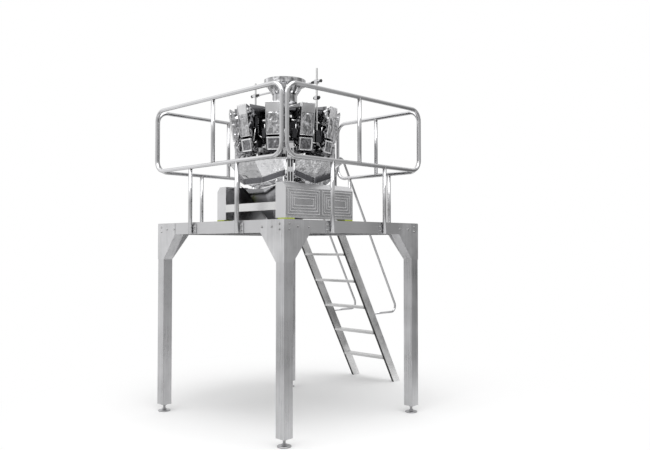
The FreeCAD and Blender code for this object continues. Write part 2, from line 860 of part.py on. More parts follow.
def facet(angle, profile, plan, width):
    """A flat sheet with a given side profile, trimmed to a given plan."""
    body = new_body(axis_x, 0, base_top, FreeCAD.Rotation(Z_AXIS, angle))
    pad(body, draw_outline(new_sketch(body, "XZ_Plane"), profile), 2 * width, middle=True)
    trim = new_sketch(body, "XY_Plane", -2 * width)
    draw_outline(trim, [(0, -2 * width), (2 * width, -2 * width), (2 * width, 2 * width), (0, 2 * width)])
    draw_outline(trim, plan)
    pocket(body, trim, 4 * width, backwards=True)
    return body


def build_chutes():
    """Ten chutes hung on a ring, each with a lip along its lower edge."""
    top = S.chute_top_apothem
    low = S.chute_rim_radius * turn("cos", half_head)
    slope = S.chute_fall / (top - low)
    end = low - S.chute_lip
    end_z = S.chute_top - slope * (top - end)
    chutes = []
    for head in range(int(S.head_count.number)):
        angle = head * 360 / S.head_count.number
        corners = [angle - half_head.number, angle + half_head.number]
        gaps = [S.column_width / 2 + S.column_clearance if corner % 360 in COLUMN_ANGLES
                else S.chute_gap / 2 for corner in corners]
        inner = [rim_radius(corner, S.chute_rim_reach, S.chute_rim_radius, S.chute_rim_radius)
                 for corner in corners]
        skirt = [radius + S.chute_sheet for radius in inner]
        parts = []
        for depth, bounds in ((S.chute_sheet, facet_plan(angle, top, inner, gaps)),
                              (S.chute_lip, facet_strip(inner, skirt, gaps))):
            profile = [(top, S.chute_top), (end, end_z), (end, end_z - depth), (top, S.chute_top - depth)]
            parts.append(facet(angle, profile, bounds, top))
        chutes.append(fuse(*parts))
    node(together(*chutes), "discharge_chutes")


def facet_strip(inner, skirt, gaps):
    """Plan of a strip along a funnel side's inner edge."""
    cos, sin = turn("cos", half_head), turn("sin", half_head)
    trims = [gap / cos for gap in gaps]
    return [(skirt[0] * cos, trims[0] - skirt[0] * sin), (skirt[1] * cos, skirt[1] * sin - trims[1]),
            (inner[1] * cos, inner[1] * sin - trims[1]), (inner[0] * cos, trims[0] - inner[0] * sin)]


def build_discharge():
    """The chute ring on the columns, the chutes below it and the collector."""
    top = S.chute_top_apothem
    ring_z = base_top + S.chute_top - S.ring_height
    ring = cut(prism(top + S.ring_width, S.ring_height, ring_z), prism(top, S.ring_height, ring_z))
    stub_end = (top + S.ring_width / 2) * edge_per_apothem
    stubs = [radial_bar(angle, S.column_radius + S.column_depth / 2, stub_end, S.ring_stub,
                        ring_z, S.ring_height) for angle in COLUMN_ANGLES]
    node(fuse(ring, *stubs), "chute_ring")
    build_chutes()
    build_collector()


def build_collector():
    """The collecting funnel, hung between the two boxes of the base, and its spout."""
    throat = S.spout_radius - S.funnel_sheet
    inner = S.base_width / 2 - S.base_box_depth
    side = inner - S.funnel_side_clearance
    reach = (inner - S.funnel_clearance) / turn("cos", 2 * half_head)
    slope = S.funnel_fall / (reach * turn("cos", half_head) - throat)
    low = S.funnel_crest - S.funnel_fall
    profile = [(throat, low), (reach, low + slope * (reach - throat)),
               (reach + S.funnel_sheet, low + slope * (reach - throat)), (throat + S.funnel_sheet, low)]
    sides = []
    for head in range(int(S.head_count.number)):
        angle = head * 360 / S.head_count.number
        corners = [angle - half_head.number, angle + half_head.number]
        outer_edge = [rim_radius(corner, reach, S.funnel_rim_radius, side) for corner in corners]
        inner_edge = [throat / 2 for corner in corners]
        sides.append(facet(angle, profile, facet_strip(inner_edge, outer_edge, (0, 0)), S.chute_top_apothem))
    share = (S.hanger_spread + S.hanger_width / 2) / (reach * turn("sin", 2 * half_head))
    edge_y = side + (inner - S.funnel_clearance - side) * share
    edge_z = S.funnel_crest - slope * (reach - side) * turn("cos", half_head) * (1 - share)
    leg_start = edge_y - 2 * S.hanger_sheet
    leg_depth = inner - S.seat_gap - leg_start
    leg_low = edge_z - S.hanger_leg
    lap_depth = S.hanger_lap + S.hanger_sheet
    hangers = []
    for sx, sy in CORNERS.values():
        low_x = axis_x + outer(sx, S.hanger_spread + S.hanger_width, S.hanger_width)
        hangers.append(box((low_x, outer(sy, inner - S.seat_gap, leg_depth), base_top + leg_low),
                           (S.hanger_width, leg_depth, S.hanger_sheet - leg_low)))
        hangers.append(box((low_x, outer(sy, inner + S.hanger_lap, lap_depth), base_top),
                           (S.hanger_width, lap_depth, S.hanger_sheet)))
    node(fuse(*sides, *hangers), "collecting_funnel")
    spout_low = S.deck_height - S.spout_drop
    length = base_top + low - spout_low
    pipe = cylinder(S.spout_radius, length, (axis_x, 0, spout_low))
    bore = cylinder(throat, length, (axis_x, 0, spout_low))
    node(cut(pipe, bore), "discharge_spout")


# Infeed ------------------------------------------------------------------------------------

def build_infeed():
    """The slotted infeed funnel and the two rods whose clamps and arms hold it."""
    t = S.sheet
    body = new_body(axis_x, 0, base_top, FreeCAD.Rotation(Z_AXIS, 180 / S.slot_count.number))
    rim_low = S.infeed_top - S.infeed_rim
    shoulder = S.infeed_shoulder_radius
    neck = S.infeed_neck_radius
    neck_low = S.infeed_neck_top - S.infeed_neck
    profile = [(S.infeed_radius, S.infeed_top), (S.infeed_radius, rim_low), (shoulder, rim_low - S.infeed_step),
               (neck, S.infeed_neck_top), (neck, neck_low), (neck - t, neck_low),
               (neck - t, S.infeed_neck_top + t), (shoulder - t, rim_low - S.infeed_step + t),
               (S.infeed_radius - t, rim_low + t), (S.infeed_radius - t, S.infeed_top)]
    revolve(body, draw_outline(new_sketch(body, "XZ_Plane"), profile))
    half = S.slot_width / 2
    low = S.infeed_neck_top + S.slot_foot
    top = rim_low - S.infeed_step - S.slot_head
    sketch = new_sketch(body, "YZ_Plane", neck - S.mouth_allowance)
    draw_outline(sketch, [(-half, low), (half, low), (half, top), (-half, top)])
    slot = pocket(body, sketch, shoulder - neck + 2 * S.mouth_allowance, backwards=True)
    all_heads(body, S.slot_count, originals=[slot])
    node(body, "infeed_funnel")
    flare = (shoulder - neck) / (rim_low - S.infeed_step - S.infeed_neck_top)
    start = neck + flare * (S.arm_lift + S.arm_radius) + S.seat_gap
    arm_z = base_top + S.infeed_neck_top + S.arm_lift
    stop_z = arm_z - S.stop_drop
    spider_top = base_top + S.spider_rise + S.spider_thickness
    half_clamp = S.clamp_side / 2
    arm_end = S.rod_spread / 2 + S.arm_overhang
    rods = []
    arms = []
    knobs = []
    for sign in (-1, 1):
        y = sign * S.rod_spread / 2
        foot = cylinder(S.rod_radius * 2, S.rod_sleeve, (axis_x, y, spider_top))
        rod_low = spider_top + S.rod_sleeve
        rods.append(fuse(foot, cylinder(S.rod_radius, base_top + S.rod_top - rod_low, (axis_x, y, rod_low))))
        spin = FreeCAD.Rotation(X_AXIS, -90 if sign > 0 else 90)
        block = box((axis_x - half_clamp, y - half_clamp, arm_z - half_clamp), (S.clamp_side,) * 3)
        arm = cylinder(S.arm_radius, arm_end - start, (axis_x, sign * start, arm_z), spin)
        hole = cylinder(S.rod_radius, S.clamp_side, (axis_x, y, arm_z - half_clamp))
        arms.append(cut(fuse(block, arm), hole))
        knobs.append(cylinder(S.knob_radius, S.knob_length, (axis_x, sign * arm_end, arm_z), spin))
    y = -S.rod_spread / 2
    collar = box((axis_x - half_clamp, y - half_clamp, stop_z - half_clamp), (S.clamp_side,) * 3)
    arms.append(cut(collar, cylinder(S.rod_radius, S.clamp_side, (axis_x, y, stop_z - half_clamp))))
    for sign in (-1, 1):
        spin = FreeCAD.Rotation(X_AXIS, -90 if sign > 0 else 90)
        knobs.append(cylinder(S.knob_radius, S.knob_length, (axis_x, y + sign * half_clamp, stop_z), spin))
    node(together(*rods), "funnel_rods")
    node(together(*arms), "funnel_arms")
    node(together(*knobs), "clamp_knobs")


build_legs()
build_beams()
build_gussets()
build_deck()
build_rails()
build_ladder()
build_base()
build_body()
build_hoppers()
build_actuators()
build_pans()
build_discharge()
build_infeed()
doc.recompute()

for thing in doc.Objects:
    if "Invalid" in thing.State or "Error" in thing.State:
        raise RuntimeError(f"{thing.Label} failed: {thing.State}")
os.makedirs("parts", exist_ok=True)
for thing in NODES:
    shape = thing.Shape
    if shape.isNull() or not shape.isValid():
        raise RuntimeError(f"{thing.Label} is not a valid solid")
    shape.exportStep(f"parts/{thing.Label}.step")
    print(thing.Label, len(shape.Solids), round(shape.Volume / 1e6, 3))
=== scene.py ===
import math

import bpy
import numpy as np
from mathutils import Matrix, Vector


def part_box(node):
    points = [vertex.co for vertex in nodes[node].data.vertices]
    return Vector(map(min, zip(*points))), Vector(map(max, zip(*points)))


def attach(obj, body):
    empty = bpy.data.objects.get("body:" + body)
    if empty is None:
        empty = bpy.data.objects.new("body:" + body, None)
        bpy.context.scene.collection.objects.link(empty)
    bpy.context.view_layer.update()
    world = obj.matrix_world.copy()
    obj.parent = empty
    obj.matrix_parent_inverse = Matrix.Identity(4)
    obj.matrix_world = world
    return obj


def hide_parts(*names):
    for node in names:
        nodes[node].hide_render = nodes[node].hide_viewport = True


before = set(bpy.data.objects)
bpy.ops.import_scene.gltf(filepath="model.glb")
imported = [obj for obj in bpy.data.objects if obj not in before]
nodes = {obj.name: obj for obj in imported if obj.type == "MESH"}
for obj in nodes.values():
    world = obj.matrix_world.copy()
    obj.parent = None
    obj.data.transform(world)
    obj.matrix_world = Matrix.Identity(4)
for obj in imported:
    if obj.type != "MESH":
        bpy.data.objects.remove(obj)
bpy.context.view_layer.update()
scene = bpy.context.scene


# ---------------------------------------------------------------------------
# Camera.  It stands a few paces off the machine's front left corner, at eye
# height and nearly level, and sees two sides of the platform equally.
# ---------------------------------------------------------------------------

def corners_of(name):
    """A CAD node's lowest and highest corners, as arrays."""
    return tuple(np.array(corner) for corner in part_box(name))


deck_low, deck_high = corners_of("deck_plate")
platform_centre = (deck_low + deck_high) / 2
camera_offset = np.array((-4.748, -5.2292))
eye_height = 1.6624
camera_turn = 0.7908
camera_tilt = 0.0289
lens_mm = 38.72
sensor_mm = 36.0

camera_data = bpy.data.cameras.new("camera")
camera_data.lens = lens_mm
camera_data.sensor_width = sensor_mm
camera_data.clip_end = 200.0
camera = bpy.data.objects.new("camera", camera_data)
camera.location = (*(platform_centre[:2] + camera_offset), eye_height)
camera.rotation_euler = (math.pi / 2 + camera_tilt, 0.0, -camera_turn)
scene.collection.objects.link(camera)
scene.camera = camera
scene.view_settings.view_transform = "Standard"


# ---------------------------------------------------------------------------
# Legs, beams, joists and gussets.  Square stainless tube and folded stainless
# sheet, ground along their length, so the grain of each runs as the bar runs.
# ---------------------------------------------------------------------------

def fill(tree, made, inputs):
    """Sets a node's inputs by name, each to a value or to a wire from another node's output."""
    for name, value in inputs.items():
        if isinstance(value, bpy.types.NodeSocket):
            tree.links.new(value, made.inputs[name])
        else:
            made.inputs[name].default_value = value


def add_node(tree, kind, inputs=None, **settings):
    """Adds a shader node with its settings and inputs, and gives its outputs."""
    made = tree.nodes.new("ShaderNode" + kind)
    for name, value in settings.items():
        setattr(made, name, value)
    fill(tree, made, inputs or {})
    return made.outputs


def math_step(tree, operation, *values):
    """A math node's result on numbers or outputs."""
    return add_node(tree, "Math", dict(enumerate(values)), operation=operation)[0]


def new_group(name, inputs, outputs):
    """A node group with its sockets: its tree, what it is given, and the node for its results."""
    group = bpy.data.node_groups.new(name, "ShaderNodeTree")
    for label, kind, value in inputs:
        socket = group.interface.new_socket(label, in_out="INPUT", socket_type="NodeSocket" + kind)
        if value is not None:
            socket.default_value = value
    for label, kind in outputs:
        group.interface.new_socket(label, in_out="OUTPUT", socket_type="NodeSocket" + kind)
    return group, group.nodes.new("NodeGroupInput").outputs, group.nodes.new("NodeGroupOutput")


shine_swing = 0.6
grain_height = 0.0004


def brushed_group():
    """Fine grain on a stretched place, plus broad cloudy marks on the plain place.

    Colour is the metal's colour times one plus streak times the grain less its
    mean, plus clouds.  Roughness rises and falls with the grain and the clouds.
    """
    group, given, result = new_group(
        "brushed finish",
        (("Grain Place", "Vector", None), ("Place", "Vector", None), ("Metal", "Color", (0.6, 0.6, 0.6, 1.0)),
         ("Gloss Loss", "Float", 0.3), ("Streak", "Float", 0.2), ("Cloud", "Float", 0.15)),
        (("Colour", "Color"), ("Roughness", "Float"), ("Height", "Float")))
    grain = add_node(group, "TexNoise", {"Vector": given["Grain Place"], "Scale": 1.0, "Detail": 5.0,
                                         "Roughness": 0.65})["Fac"]
    cloud = add_node(group, "TexNoise", {"Vector": given["Place"], "Scale": 4.0, "Detail": 3.0})["Fac"]
    streak = math_step(group, "MULTIPLY", math_step(group, "SUBTRACT", grain, 0.5), given["Streak"])
    haze = math_step(group, "MULTIPLY", math_step(group, "SUBTRACT", cloud, 0.5), given["Cloud"])
    swing = math_step(group, "ADD", streak, haze)
    tone = add_node(group, "VectorMath", {0: given["Metal"], "Scale": math_step(group, "ADD", swing, 1.0)},
                    operation="SCALE")[0]
    rough_swing = math_step(group, "MULTIPLY", swing, shine_swing)
    rough = math_step(group, "ADD", given["Gloss Loss"], rough_swing)
    fill(group, result, {"Colour": tone, "Roughness": rough, "Height": grain})
    return group


brushed_finish = brushed_group()


def new_material(name):
    """A new material, its node tree and its shader."""
    material = bpy.data.materials.new(name)
    material.use_nodes = True
    return material, material.node_tree, material.node_tree.nodes["Principled BSDF"]


def metal(name, colour, roughness, grain=(300.0, 300.0, 6.0), streak=0.2, cloud=0.2, relief=0.12):
    """A bare metal with ground grain: grain gives the lines per metre along each axis."""
    material, tree, shader = new_material(name)
    place = add_node(tree, "TexCoord")["Object"]
    stretched = add_node(tree, "Mapping", {"Vector": place, "Scale": grain})["Vector"]
    finish = add_node(tree, "Group", {"Grain Place": stretched, "Place": place, "Metal": (*colour, 1.0),
                                      "Gloss Loss": roughness, "Streak": streak, "Cloud": cloud},
                      node_tree=brushed_finish)
    bump = add_node(tree, "Bump", {"Strength": relief, "Distance": grain_height, "Height": finish["Height"]})
    fill(tree, shader, {"Metallic": 1.0, "Base Color": finish["Colour"], "Roughness": finish["Roughness"],
                        "Normal": bump["Normal"]})
    return material


def dress(material, *names):
    """Gives CAD nodes a material in place of the one that they were packed with."""
    for name in names:
        nodes[name].data.materials.clear()
        nodes[name].data.materials.append(material)


frame_colour = (0.56, 0.56, 0.57)
along_z = (320.0, 320.0, 5.0)
along_x = (5.0, 320.0, 320.0)
along_y = (320.0, 5.0, 320.0)
leg_names = ("leg_front_left", "leg_front_right", "leg_back_left", "leg_back_right")
dress(metal("ground upright steel", frame_colour, 0.34, (90.0, 90.0, 1.6), streak=0.6, cloud=0.5), *leg_names)
dress(metal("ground crossways steel", (0.62, 0.62, 0.63), 0.30, along_x), "beam_front", "beam_back",
      "deck_joists")
dress(metal("ground lengthways steel", frame_colour, 0.34, along_y), "beam_left", "beam_right")
dress(metal("gusset steel", (0.59, 0.59, 0.60), 0.36, (120.0, 120.0, 3.0), streak=0.6, cloud=0.8),
      "corner_gussets", "ladder_header")
dress(metal("bracket steel", (0.60, 0.60, 0.61), 0.30, along_z), "rail_brackets")


# ---------------------------------------------------------------------------
# Frame bolts.  Hexagon bolts with washers hold each gusset to its leg and beam
# and each rail bracket to the beam, all heads outwards.
# ---------------------------------------------------------------------------

def spun(profile, sides):
    """A turned shape: a profile of (radius, height) carried round the Z axis in a number of sides.

    Its quads lie between neighbouring profile points and neighbouring angles, facing outwards.
    """
    radius, height = np.array(profile, float).T
    angle = np.linspace(0.0, 2.0 * np.pi, sides, endpoint=False)[:, None]
    points = np.stack(np.broadcast_arrays(radius * np.cos(angle), radius * np.sin(angle), height), axis=-1)
    rows = len(profile)
    side, row = np.meshgrid(np.arange(sides), np.arange(rows - 1), indexing="ij")
    following = (side + 1) % sides
    faces = np.stack((side * rows + row, following * rows + row,
                      following * rows + row + 1, side * rows + row + 1), axis=-1)
    return points.reshape(-1, 3), faces.reshape(-1, 4)


def turned(outward):
    """A rotation whose third column is the outward direction."""
    outward = np.asarray(outward, float)
    outward = outward / np.linalg.norm(outward)
    helper = np.array((0.0, 0.0, 1.0)) if abs(outward[2]) < 0.9 else np.array((1.0, 0.0, 0.0))
    first = np.cross(helper, outward)
    first = first / np.linalg.norm(first)
    return np.stack((first, np.cross(outward, first), outward), axis=1)


def copies(points, faces, places, outwards):
    """One shape set down at many places, each turned to its own outward direction."""
    points = np.asarray(points, float)
    faces = np.asarray(faces)
    turns = np.stack([turned(outward) for outward in outwards])
    spread = np.einsum("nij,pj->npi", turns, points) + np.asarray(places, float)[:, None, :]
    offsets = (np.arange(len(spread)) * len(points))[:, None, None]
    return spread.reshape(-1, 3), (faces[None] + offsets).reshape(-1, faces.shape[1])


def piece(name, points, faces, material, slot, smooth=False):
    """A new mesh piece of the machine, fixed to it; its slot argument is not used.

    The faces are an array of quads, or a list where they differ in corners.
    """
    mesh = bpy.data.meshes.new(name)
    mesh.from_pydata(points.tolist(), [], faces.tolist() if isinstance(faces, np.ndarray) else faces)
    mesh.validate()
    mesh.shade_smooth() if smooth else mesh.shade_flat()
    mesh.materials.append(material)
    made = bpy.data.objects.new(name, mesh)
    scene.collection.objects.link(made)
    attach(made, "root")
    return made


even_grain = (90.0, 90.0, 90.0)
bolt_steel = metal("bolt steel", (0.50, 0.50, 0.50), 0.25, even_grain, relief=0.05)
bolt_sides = 6
bolt_row_drop = 0.004
bolt_runs = (0.06, 0.06, 0.158, 0.285)
bolt_lifts = (0.023, -0.023, 0.0, 0.0)
bracket_bolt_lead = 0.040
bracket_bolt_lifts = (0.024, 0.066)
post_half_spread = 0.355
side_posts = (-0.560, 0.0)
gusset_low, gusset_high = corners_of("corner_gussets")
beam_low, beam_high = corners_of("beam_front")
bolt_row = (beam_low[2] + beam_high[2]) / 2 - bolt_row_drop
hex_bolt = [(0.0, 0.0), (0.0125, 0.0), (0.0125, 0.0018), (0.0095, 0.0020), (0.0095, 0.0072),
            (0.0082, 0.0085), (0.0, 0.0085)]


def corner_bolts():
    """Four bolts on each outer face of each gusset, measured in from the corner."""
    places = []
    outwards = []
    for x_face, x_sign in ((gusset_low[0], -1), (gusset_high[0], 1)):
        for y_face, y_sign in ((gusset_low[1], -1), (gusset_high[1], 1)):
            for run, lift in zip(bolt_runs, bolt_lifts):
                places.append((x_face, y_face - y_sign * run, bolt_row + lift))
                outwards.append((x_sign, 0, 0))
                places.append((x_face - x_sign * run, y_face, bolt_row + lift))
                outwards.append((0, y_sign, 0))
    return places, outwards


def bracket_bolts():
    """Two bolts, one over the other, in the free end of each rail bracket's plate."""
    low, high = corners_of("rail_brackets")
    even_posts = (-post_half_spread, post_half_spread)
    places = []
    outwards = []
    for side in (-1, 1):
        face = low if side < 0 else high
        for post in even_posts:
            for lift in bracket_bolt_lifts:
                places.append((platform_centre[0] + post - bracket_bolt_lead, face[1], low[2] + lift))
                outwards.append((0, side, 0))
        for post in side_posts if side > 0 else even_posts:
            for lift in bracket_bolt_lifts:
                places.append((face[0], post - bracket_bolt_lead, low[2] + lift))
                outwards.append((side, 0, 0))
    return places, outwards


places, outwards = (first + second for first, second in zip(corner_bolts(), bracket_bolts()))
piece("frame_bolts", *copies(*spun(hex_bolt, bolt_sides), places, outwards), bolt_steel, "frame_steel")


# ---------------------------------------------------------------------------
# Levelling feet.  A turned plate with a coned hub, a threaded stud and the lock
# nut that holds it under the leg.
# ---------------------------------------------------------------------------

def joined(*parts):
    """Several grids of points and their faces as one list of each."""
    offsets = np.cumsum([0] + [len(points) for points, faces in parts[:-1]])
    return (np.vstack([points for points, faces in parts]),
            np.vstack([faces + offset for (points, faces), offset in zip(parts, offsets)]))


foot_steel = metal("foot steel", (0.42, 0.42, 0.43), 0.42, along_z, cloud=0.4)
foot_profile = [(0.0, 0.0), (0.058, 0.0), (0.060, 0.002), (0.060, 0.009), (0.057, 0.0115), (0.026, 0.015),
                (0.023, 0.017), (0.023, 0.025), (0.012, 0.0255), (0.012, 0.0575), (0.0, 0.0575)]
nut_profile = [(0.0, 0.057), (0.022, 0.057), (0.024, 0.0585), (0.024, 0.0685), (0.022, 0.070), (0.0, 0.070)]
thread_root = 0.0112
thread_depth = 0.0012
thread_edges = np.linspace(0.0265, 0.0565, 25)
thread_profile = [(0.0, 0.026)] + [(thread_root + thread_depth * (number % 2), height)
                                   for number, height in enumerate(thread_edges)] + [(0.0, 0.057)]
foot_shape = joined(spun(foot_profile, 36), spun(thread_profile, 20), spun(nut_profile, bolt_sides))
leg_middles = [sum(corners_of(name)) / 2 for name in leg_names]
foot_places = [(middle[0], middle[1], 0.0) for middle in leg_middles]
feet = piece("turned_feet", *copies(*foot_shape, foot_places, [(0, 0, 1)] * len(foot_places)),
             foot_steel, "foot_steel")
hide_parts("levelling_feet")


# ---------------------------------------------------------------------------
# Deck.  Stainless checker plate: a sheet rolled with small raised lozenges that
# lean left and right by turns, so that wet shoes grip it.
# ---------------------------------------------------------------------------

tread_pitch = 0.036
tread_length = 0.026
tread_breadth = 0.008
tread_rise = 0.0015
tread_top_share = (0.72, 0.45)
pad_margin = 0.01
pad_side = 0.13
deck_hole = 0.178


def lozenge(steps=8):
    """A raised lens: an ellipse at the plate, drawn in along and across at the top."""
    turn = np.linspace(0.0, 2.0 * np.pi, steps, endpoint=False)
    outline = np.stack((np.cos(turn) * tread_length / 2, np.sin(turn) * tread_breadth / 2), axis=1)
    low = np.column_stack((outline, np.zeros(steps)))
    high = np.column_stack((outline * tread_top_share, np.full(steps, tread_rise)))
    index = np.arange(steps)
    following = (index + 1) % steps
    sides = np.stack((index, following, following + steps, index + steps), axis=1)
    return np.vstack((low, high)), sides, index + steps


def tread_field(low, high, top, keep=None):
    """Lozenges on a square grid, leaning 45 degrees left and right by turns."""
    points, sides, cap = lozenge()
    columns = np.arange(low[0] + tread_pitch, high[0] - tread_pitch / 2, tread_pitch)
    rows = np.arange(low[1] + tread_pitch, high[1] - tread_pitch / 2, tread_pitch)
    column, row = np.meshgrid(np.arange(len(columns)), np.arange(len(rows)), indexing="ij")
    centre = np.stack((columns[column], rows[row]), axis=-1).reshape(-1, 2)
    lean = np.where((column + row).reshape(-1) % 2 == 0, np.pi / 4, -np.pi / 4)
    if keep is not None:
        kept = keep(centre)
        centre, lean = centre[kept], lean[kept]
    cos, sin = np.cos(lean)[:, None], np.sin(lean)[:, None]
    x = centre[:, :1] + cos * points[None, :, 0] - sin * points[None, :, 1]
    y = centre[:, 1:] + sin * points[None, :, 0] + cos * points[None, :, 1]
    z = np.broadcast_to(top + points[None, :, 2], x.shape)
    spread = np.stack((x, y, z), axis=-1).reshape(-1, 3)
    offsets = np.arange(len(centre)) * len(points)
    all_sides = (sides[None] + offsets[:, None, None]).reshape(-1, 4).tolist()
    all_caps = (cap[None] + offsets[:, None]).tolist()
    return spread, all_sides + all_caps


plate_steel = metal("checker plate steel", (0.54, 0.54, 0.54), 0.36, (120.0, 120.0, 120.0), streak=0.08,
                    cloud=0.25)
dress(plate_steel, "deck_plate")
pads_low, pads_high = corners_of("base_pads")


def clear_of_weigher(centre):
    """Leaves out the lozenges under the weigher's pads and over the spout's hole."""
    inside = (centre > pads_low[:2] - pad_margin) & (centre < pads_high[:2] + pad_margin)
    outer = (centre < pads_low[:2] + pad_side) | (centre > pads_high[:2] - pad_side)
    under_pad = inside.all(axis=1) & outer.all(axis=1)
    hole = np.linalg.norm(centre - (pads_low[:2] + pads_high[:2]) / 2, axis=1) < deck_hole
    return ~(under_pad | hole)


points, faces = tread_field(deck_low, deck_high, deck_high[2], clear_of_weigher)
piece("deck_tread", points, faces, plate_steel, "checker_plate")


# ---------------------------------------------------------------------------
# Guard rails.  Round stainless tube, bent and welded into a loop with a middle
# bar and two posts, and polished, so it reflects in long bright lines.
# ---------------------------------------------------------------------------

tube_steel = metal("polished tube steel", (0.56, 0.56, 0.57), 0.11, (60.0, 60.0, 60.0), streak=0.12,
                   relief=0.03)
weld_steel = metal("weld bead steel", (0.40, 0.39, 0.38), 0.38, (400.0, 400.0, 400.0), streak=0.6, relief=0.5)
rail_radius = 0.019
rail_bend = 0.110
rail_low_rise = 0.526
weld_place = 0.85
weld_sides = 28
weld_ripples = 14
tube_end_share = 0.02


def rounded_path(corners, bend, closed=False, steps=12):
    """A line through corners, each corner an arc of radius bend tangent to both its legs.

    With unit legs u and v that turn by phi, and w the unit vector square to u on
    the inside, the arc is centre - bend w cos(a) + bend u sin(a), a from 0 to phi.
    """
    corners = np.asarray(corners, float)
    count = len(corners)
    path = []
    for index in range(count):
        if not closed and index in (0, count - 1):
            path.append(corners[index][None])
            continue
        leg_in = corners[index] - corners[index - 1]
        leg_out = corners[(index + 1) % count] - corners[index]
        u = leg_in / np.linalg.norm(leg_in)
        v = leg_out / np.linalg.norm(leg_out)
        phi = math.acos(float(np.clip(u @ v, -1.0, 1.0)))
        w = (v - u * math.cos(phi)) / math.sin(phi)
        centre = corners[index] - u * bend * math.tan(phi / 2) + bend * w
        angle = np.linspace(0.0, phi, steps + 1)[:, None]
        path.append(centre - bend * w * np.cos(angle) + bend * u * np.sin(angle))
    return np.vstack(path)


def tube_faces(rows, sides, closed=False):
    """Quads between neighbouring rings of a tube, stored ring by ring, facing outwards."""
    row, side = np.meshgrid(np.arange(rows if closed else rows - 1), np.arange(sides), indexing="ij")
    onward = (row + 1) % rows
    across = (side + 1) % sides
    return np.stack((onward * sides + side, onward * sides + across,
                     row * sides + across, row * sides + side), axis=-1).reshape(-1, 4)


def tube_along(path, normal, radius, sides=20, closed=False):
    """A round tube about a flat path: path + radius (side cos a + normal sin a).

    The side vector is the path's plane normal crossed with its direction.  An
    open tube is closed at each end by drawing its last ring in to the path.
    """
    path = np.asarray(path, float)
    if closed:
        ahead = np.roll(path, -1, axis=0) - np.roll(path, 1, axis=0)
    else:
        ahead = np.gradient(path, axis=0)
    ahead = ahead / np.linalg.norm(ahead, axis=1, keepdims=True)
    normal = np.asarray(normal, float)
    side = np.cross(normal, ahead)
    swell = np.full(len(path), radius)
    if not closed:
        path = np.vstack((path[:1], path, path[-1:]))
        side = np.vstack((side[:1], side, side[-1:]))
        swell = np.pad(swell, 1, constant_values=radius * tube_end_share)
    angle = np.linspace(0.0, 2.0 * np.pi, sides, endpoint=False)
    ring = (side[:, None] * np.cos(angle)[:, None] + normal * np.sin(angle)[:, None]) * swell[:, None, None]
    return (path[:, None] + ring).reshape(-1, 3), tube_faces(len(path), sides, closed)


def weld_ring(centre, normal, bead=0.0035, wave=0.02):
    """A bead round an upright tube where it meets another: a thin ring with a slightly wavy radius.

    It stands proud in the corners between the tubes and is ground flush across
    them: its part along the joint's normal is shortened by the bead's thickness.
    """
    turns = turned((0.0, 0.0, 1.0))
    angle = np.linspace(0.0, 2.0 * np.pi, weld_sides, endpoint=False)
    path = (turns[:, 0] * np.cos(angle)[:, None] + turns[:, 1] * np.sin(angle)[:, None]) * rail_radius
    path = path * (1.0 + wave * np.cos(weld_ripples * angle))[:, None]
    flush = (rail_radius - bead) / (rail_radius * (1.0 + wave))
    path = path - (1.0 - flush) * (path @ normal)[:, None] * normal + centre
    return tube_along(path, turns[:, 2], bead, 6, closed=True)


def guard_rail(name, axis, posts):
    """A closed loop of bent tube, its middle bar and its two posts, on one side of the deck."""
    low, high = corners_of(name)
    other = 1 - axis
    face = (low[other] + high[other]) / 2
    start, end = low[axis] + rail_radius, high[axis] - rail_radius
    top, bottom = high[2] - rail_radius, deck_high[2] + rail_low_rise

    def at(run, z):
        place = np.zeros(3)
        place[axis], place[other], place[2] = run, face, z
        return place

    normal = np.eye(3)[other]
    middle = (start + end) / 2
    loop = rounded_path([at(start, bottom), at(end, bottom), at(end, top), at(start, top)], rail_bend, True)
    tubes = [tube_along(loop, normal, rail_radius, closed=True),
             tube_along([at(middle, bottom), at(middle, top)], normal, rail_radius)]
    joint = rail_radius * weld_place
    joints = [at(middle, bottom + joint), at(middle, top - joint)]
    for post in posts:
        tubes.append(tube_along([at(post, low[2]), at(post, bottom)], normal, rail_radius))
        joints.append(at(post, bottom - joint))
    rail = piece(name + "_tube", *joined(*tubes), tube_steel, "tube_steel", smooth=True)
    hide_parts(name)
    return [weld_ring(place, normal) for place in joints]


middle_posts = (platform_centre[0] - post_half_spread, platform_centre[0] + post_half_spread)
rail_welds = (guard_rail("guard_rail_left", 1, (-post_half_spread, post_half_spread))
              + guard_rail("guard_rail_front", 0, middle_posts)
              + guard_rail("guard_rail_right", 1, side_posts)
              + guard_rail("guard_rail_back", 0, middle_posts))
piece("rail_welds", *joined(*rail_welds), weld_steel, "tube_steel", smooth=True)


# ---------------------------------------------------------------------------
# Ladder.  Two folded channels with folded treads between them, each tread with
# the deck's lozenges on top, and a bent and polished handrail on each channel.
# ---------------------------------------------------------------------------

def paint_shade_below(material, shade, first=-0.15, full=-0.30):
    """Paints shade on what faces down, the open side of a folded channel: a darker colour stands in for its
    shade.

    The shade comes in as the normal's height falls from its first value to its full one.
    """
    tree = material.node_tree
    shader = tree.nodes["Principled BSDF"]
    bare = shader.inputs["Base Color"].links[0].from_socket
    facing = add_node(tree, "SeparateXYZ", {0: add_node(tree, "TexCoord")["Normal"]})["Z"]
    shade_share = add_node(tree, "MapRange", {"Value": facing, "From Min": first, "From Max": full})["Result"]
    blend = add_node(tree, "Mix", {"Factor": shade_share, "A": bare, "B": (*shade, 1.0)}, data_type="RGBA")
    fill(tree, shader, {"Base Color": blend["Result"]})


ladder_steel = metal("ladder side steel", (0.78, 0.78, 0.78), 0.30, (40.0, 300.0, 40.0), streak=0.4,
                     cloud=0.8)
# The stringers' undersides get painted shade: their colour goes near black where they face down.
paint_shade_below(ladder_steel, shade=(0.06, 0.06, 0.06))
dress(ladder_steel, "ladder_stringers")
tread_steel = metal("tread steel", (0.60, 0.60, 0.60), 0.38, along_y)
dress(tread_steel, "ladder_treads")

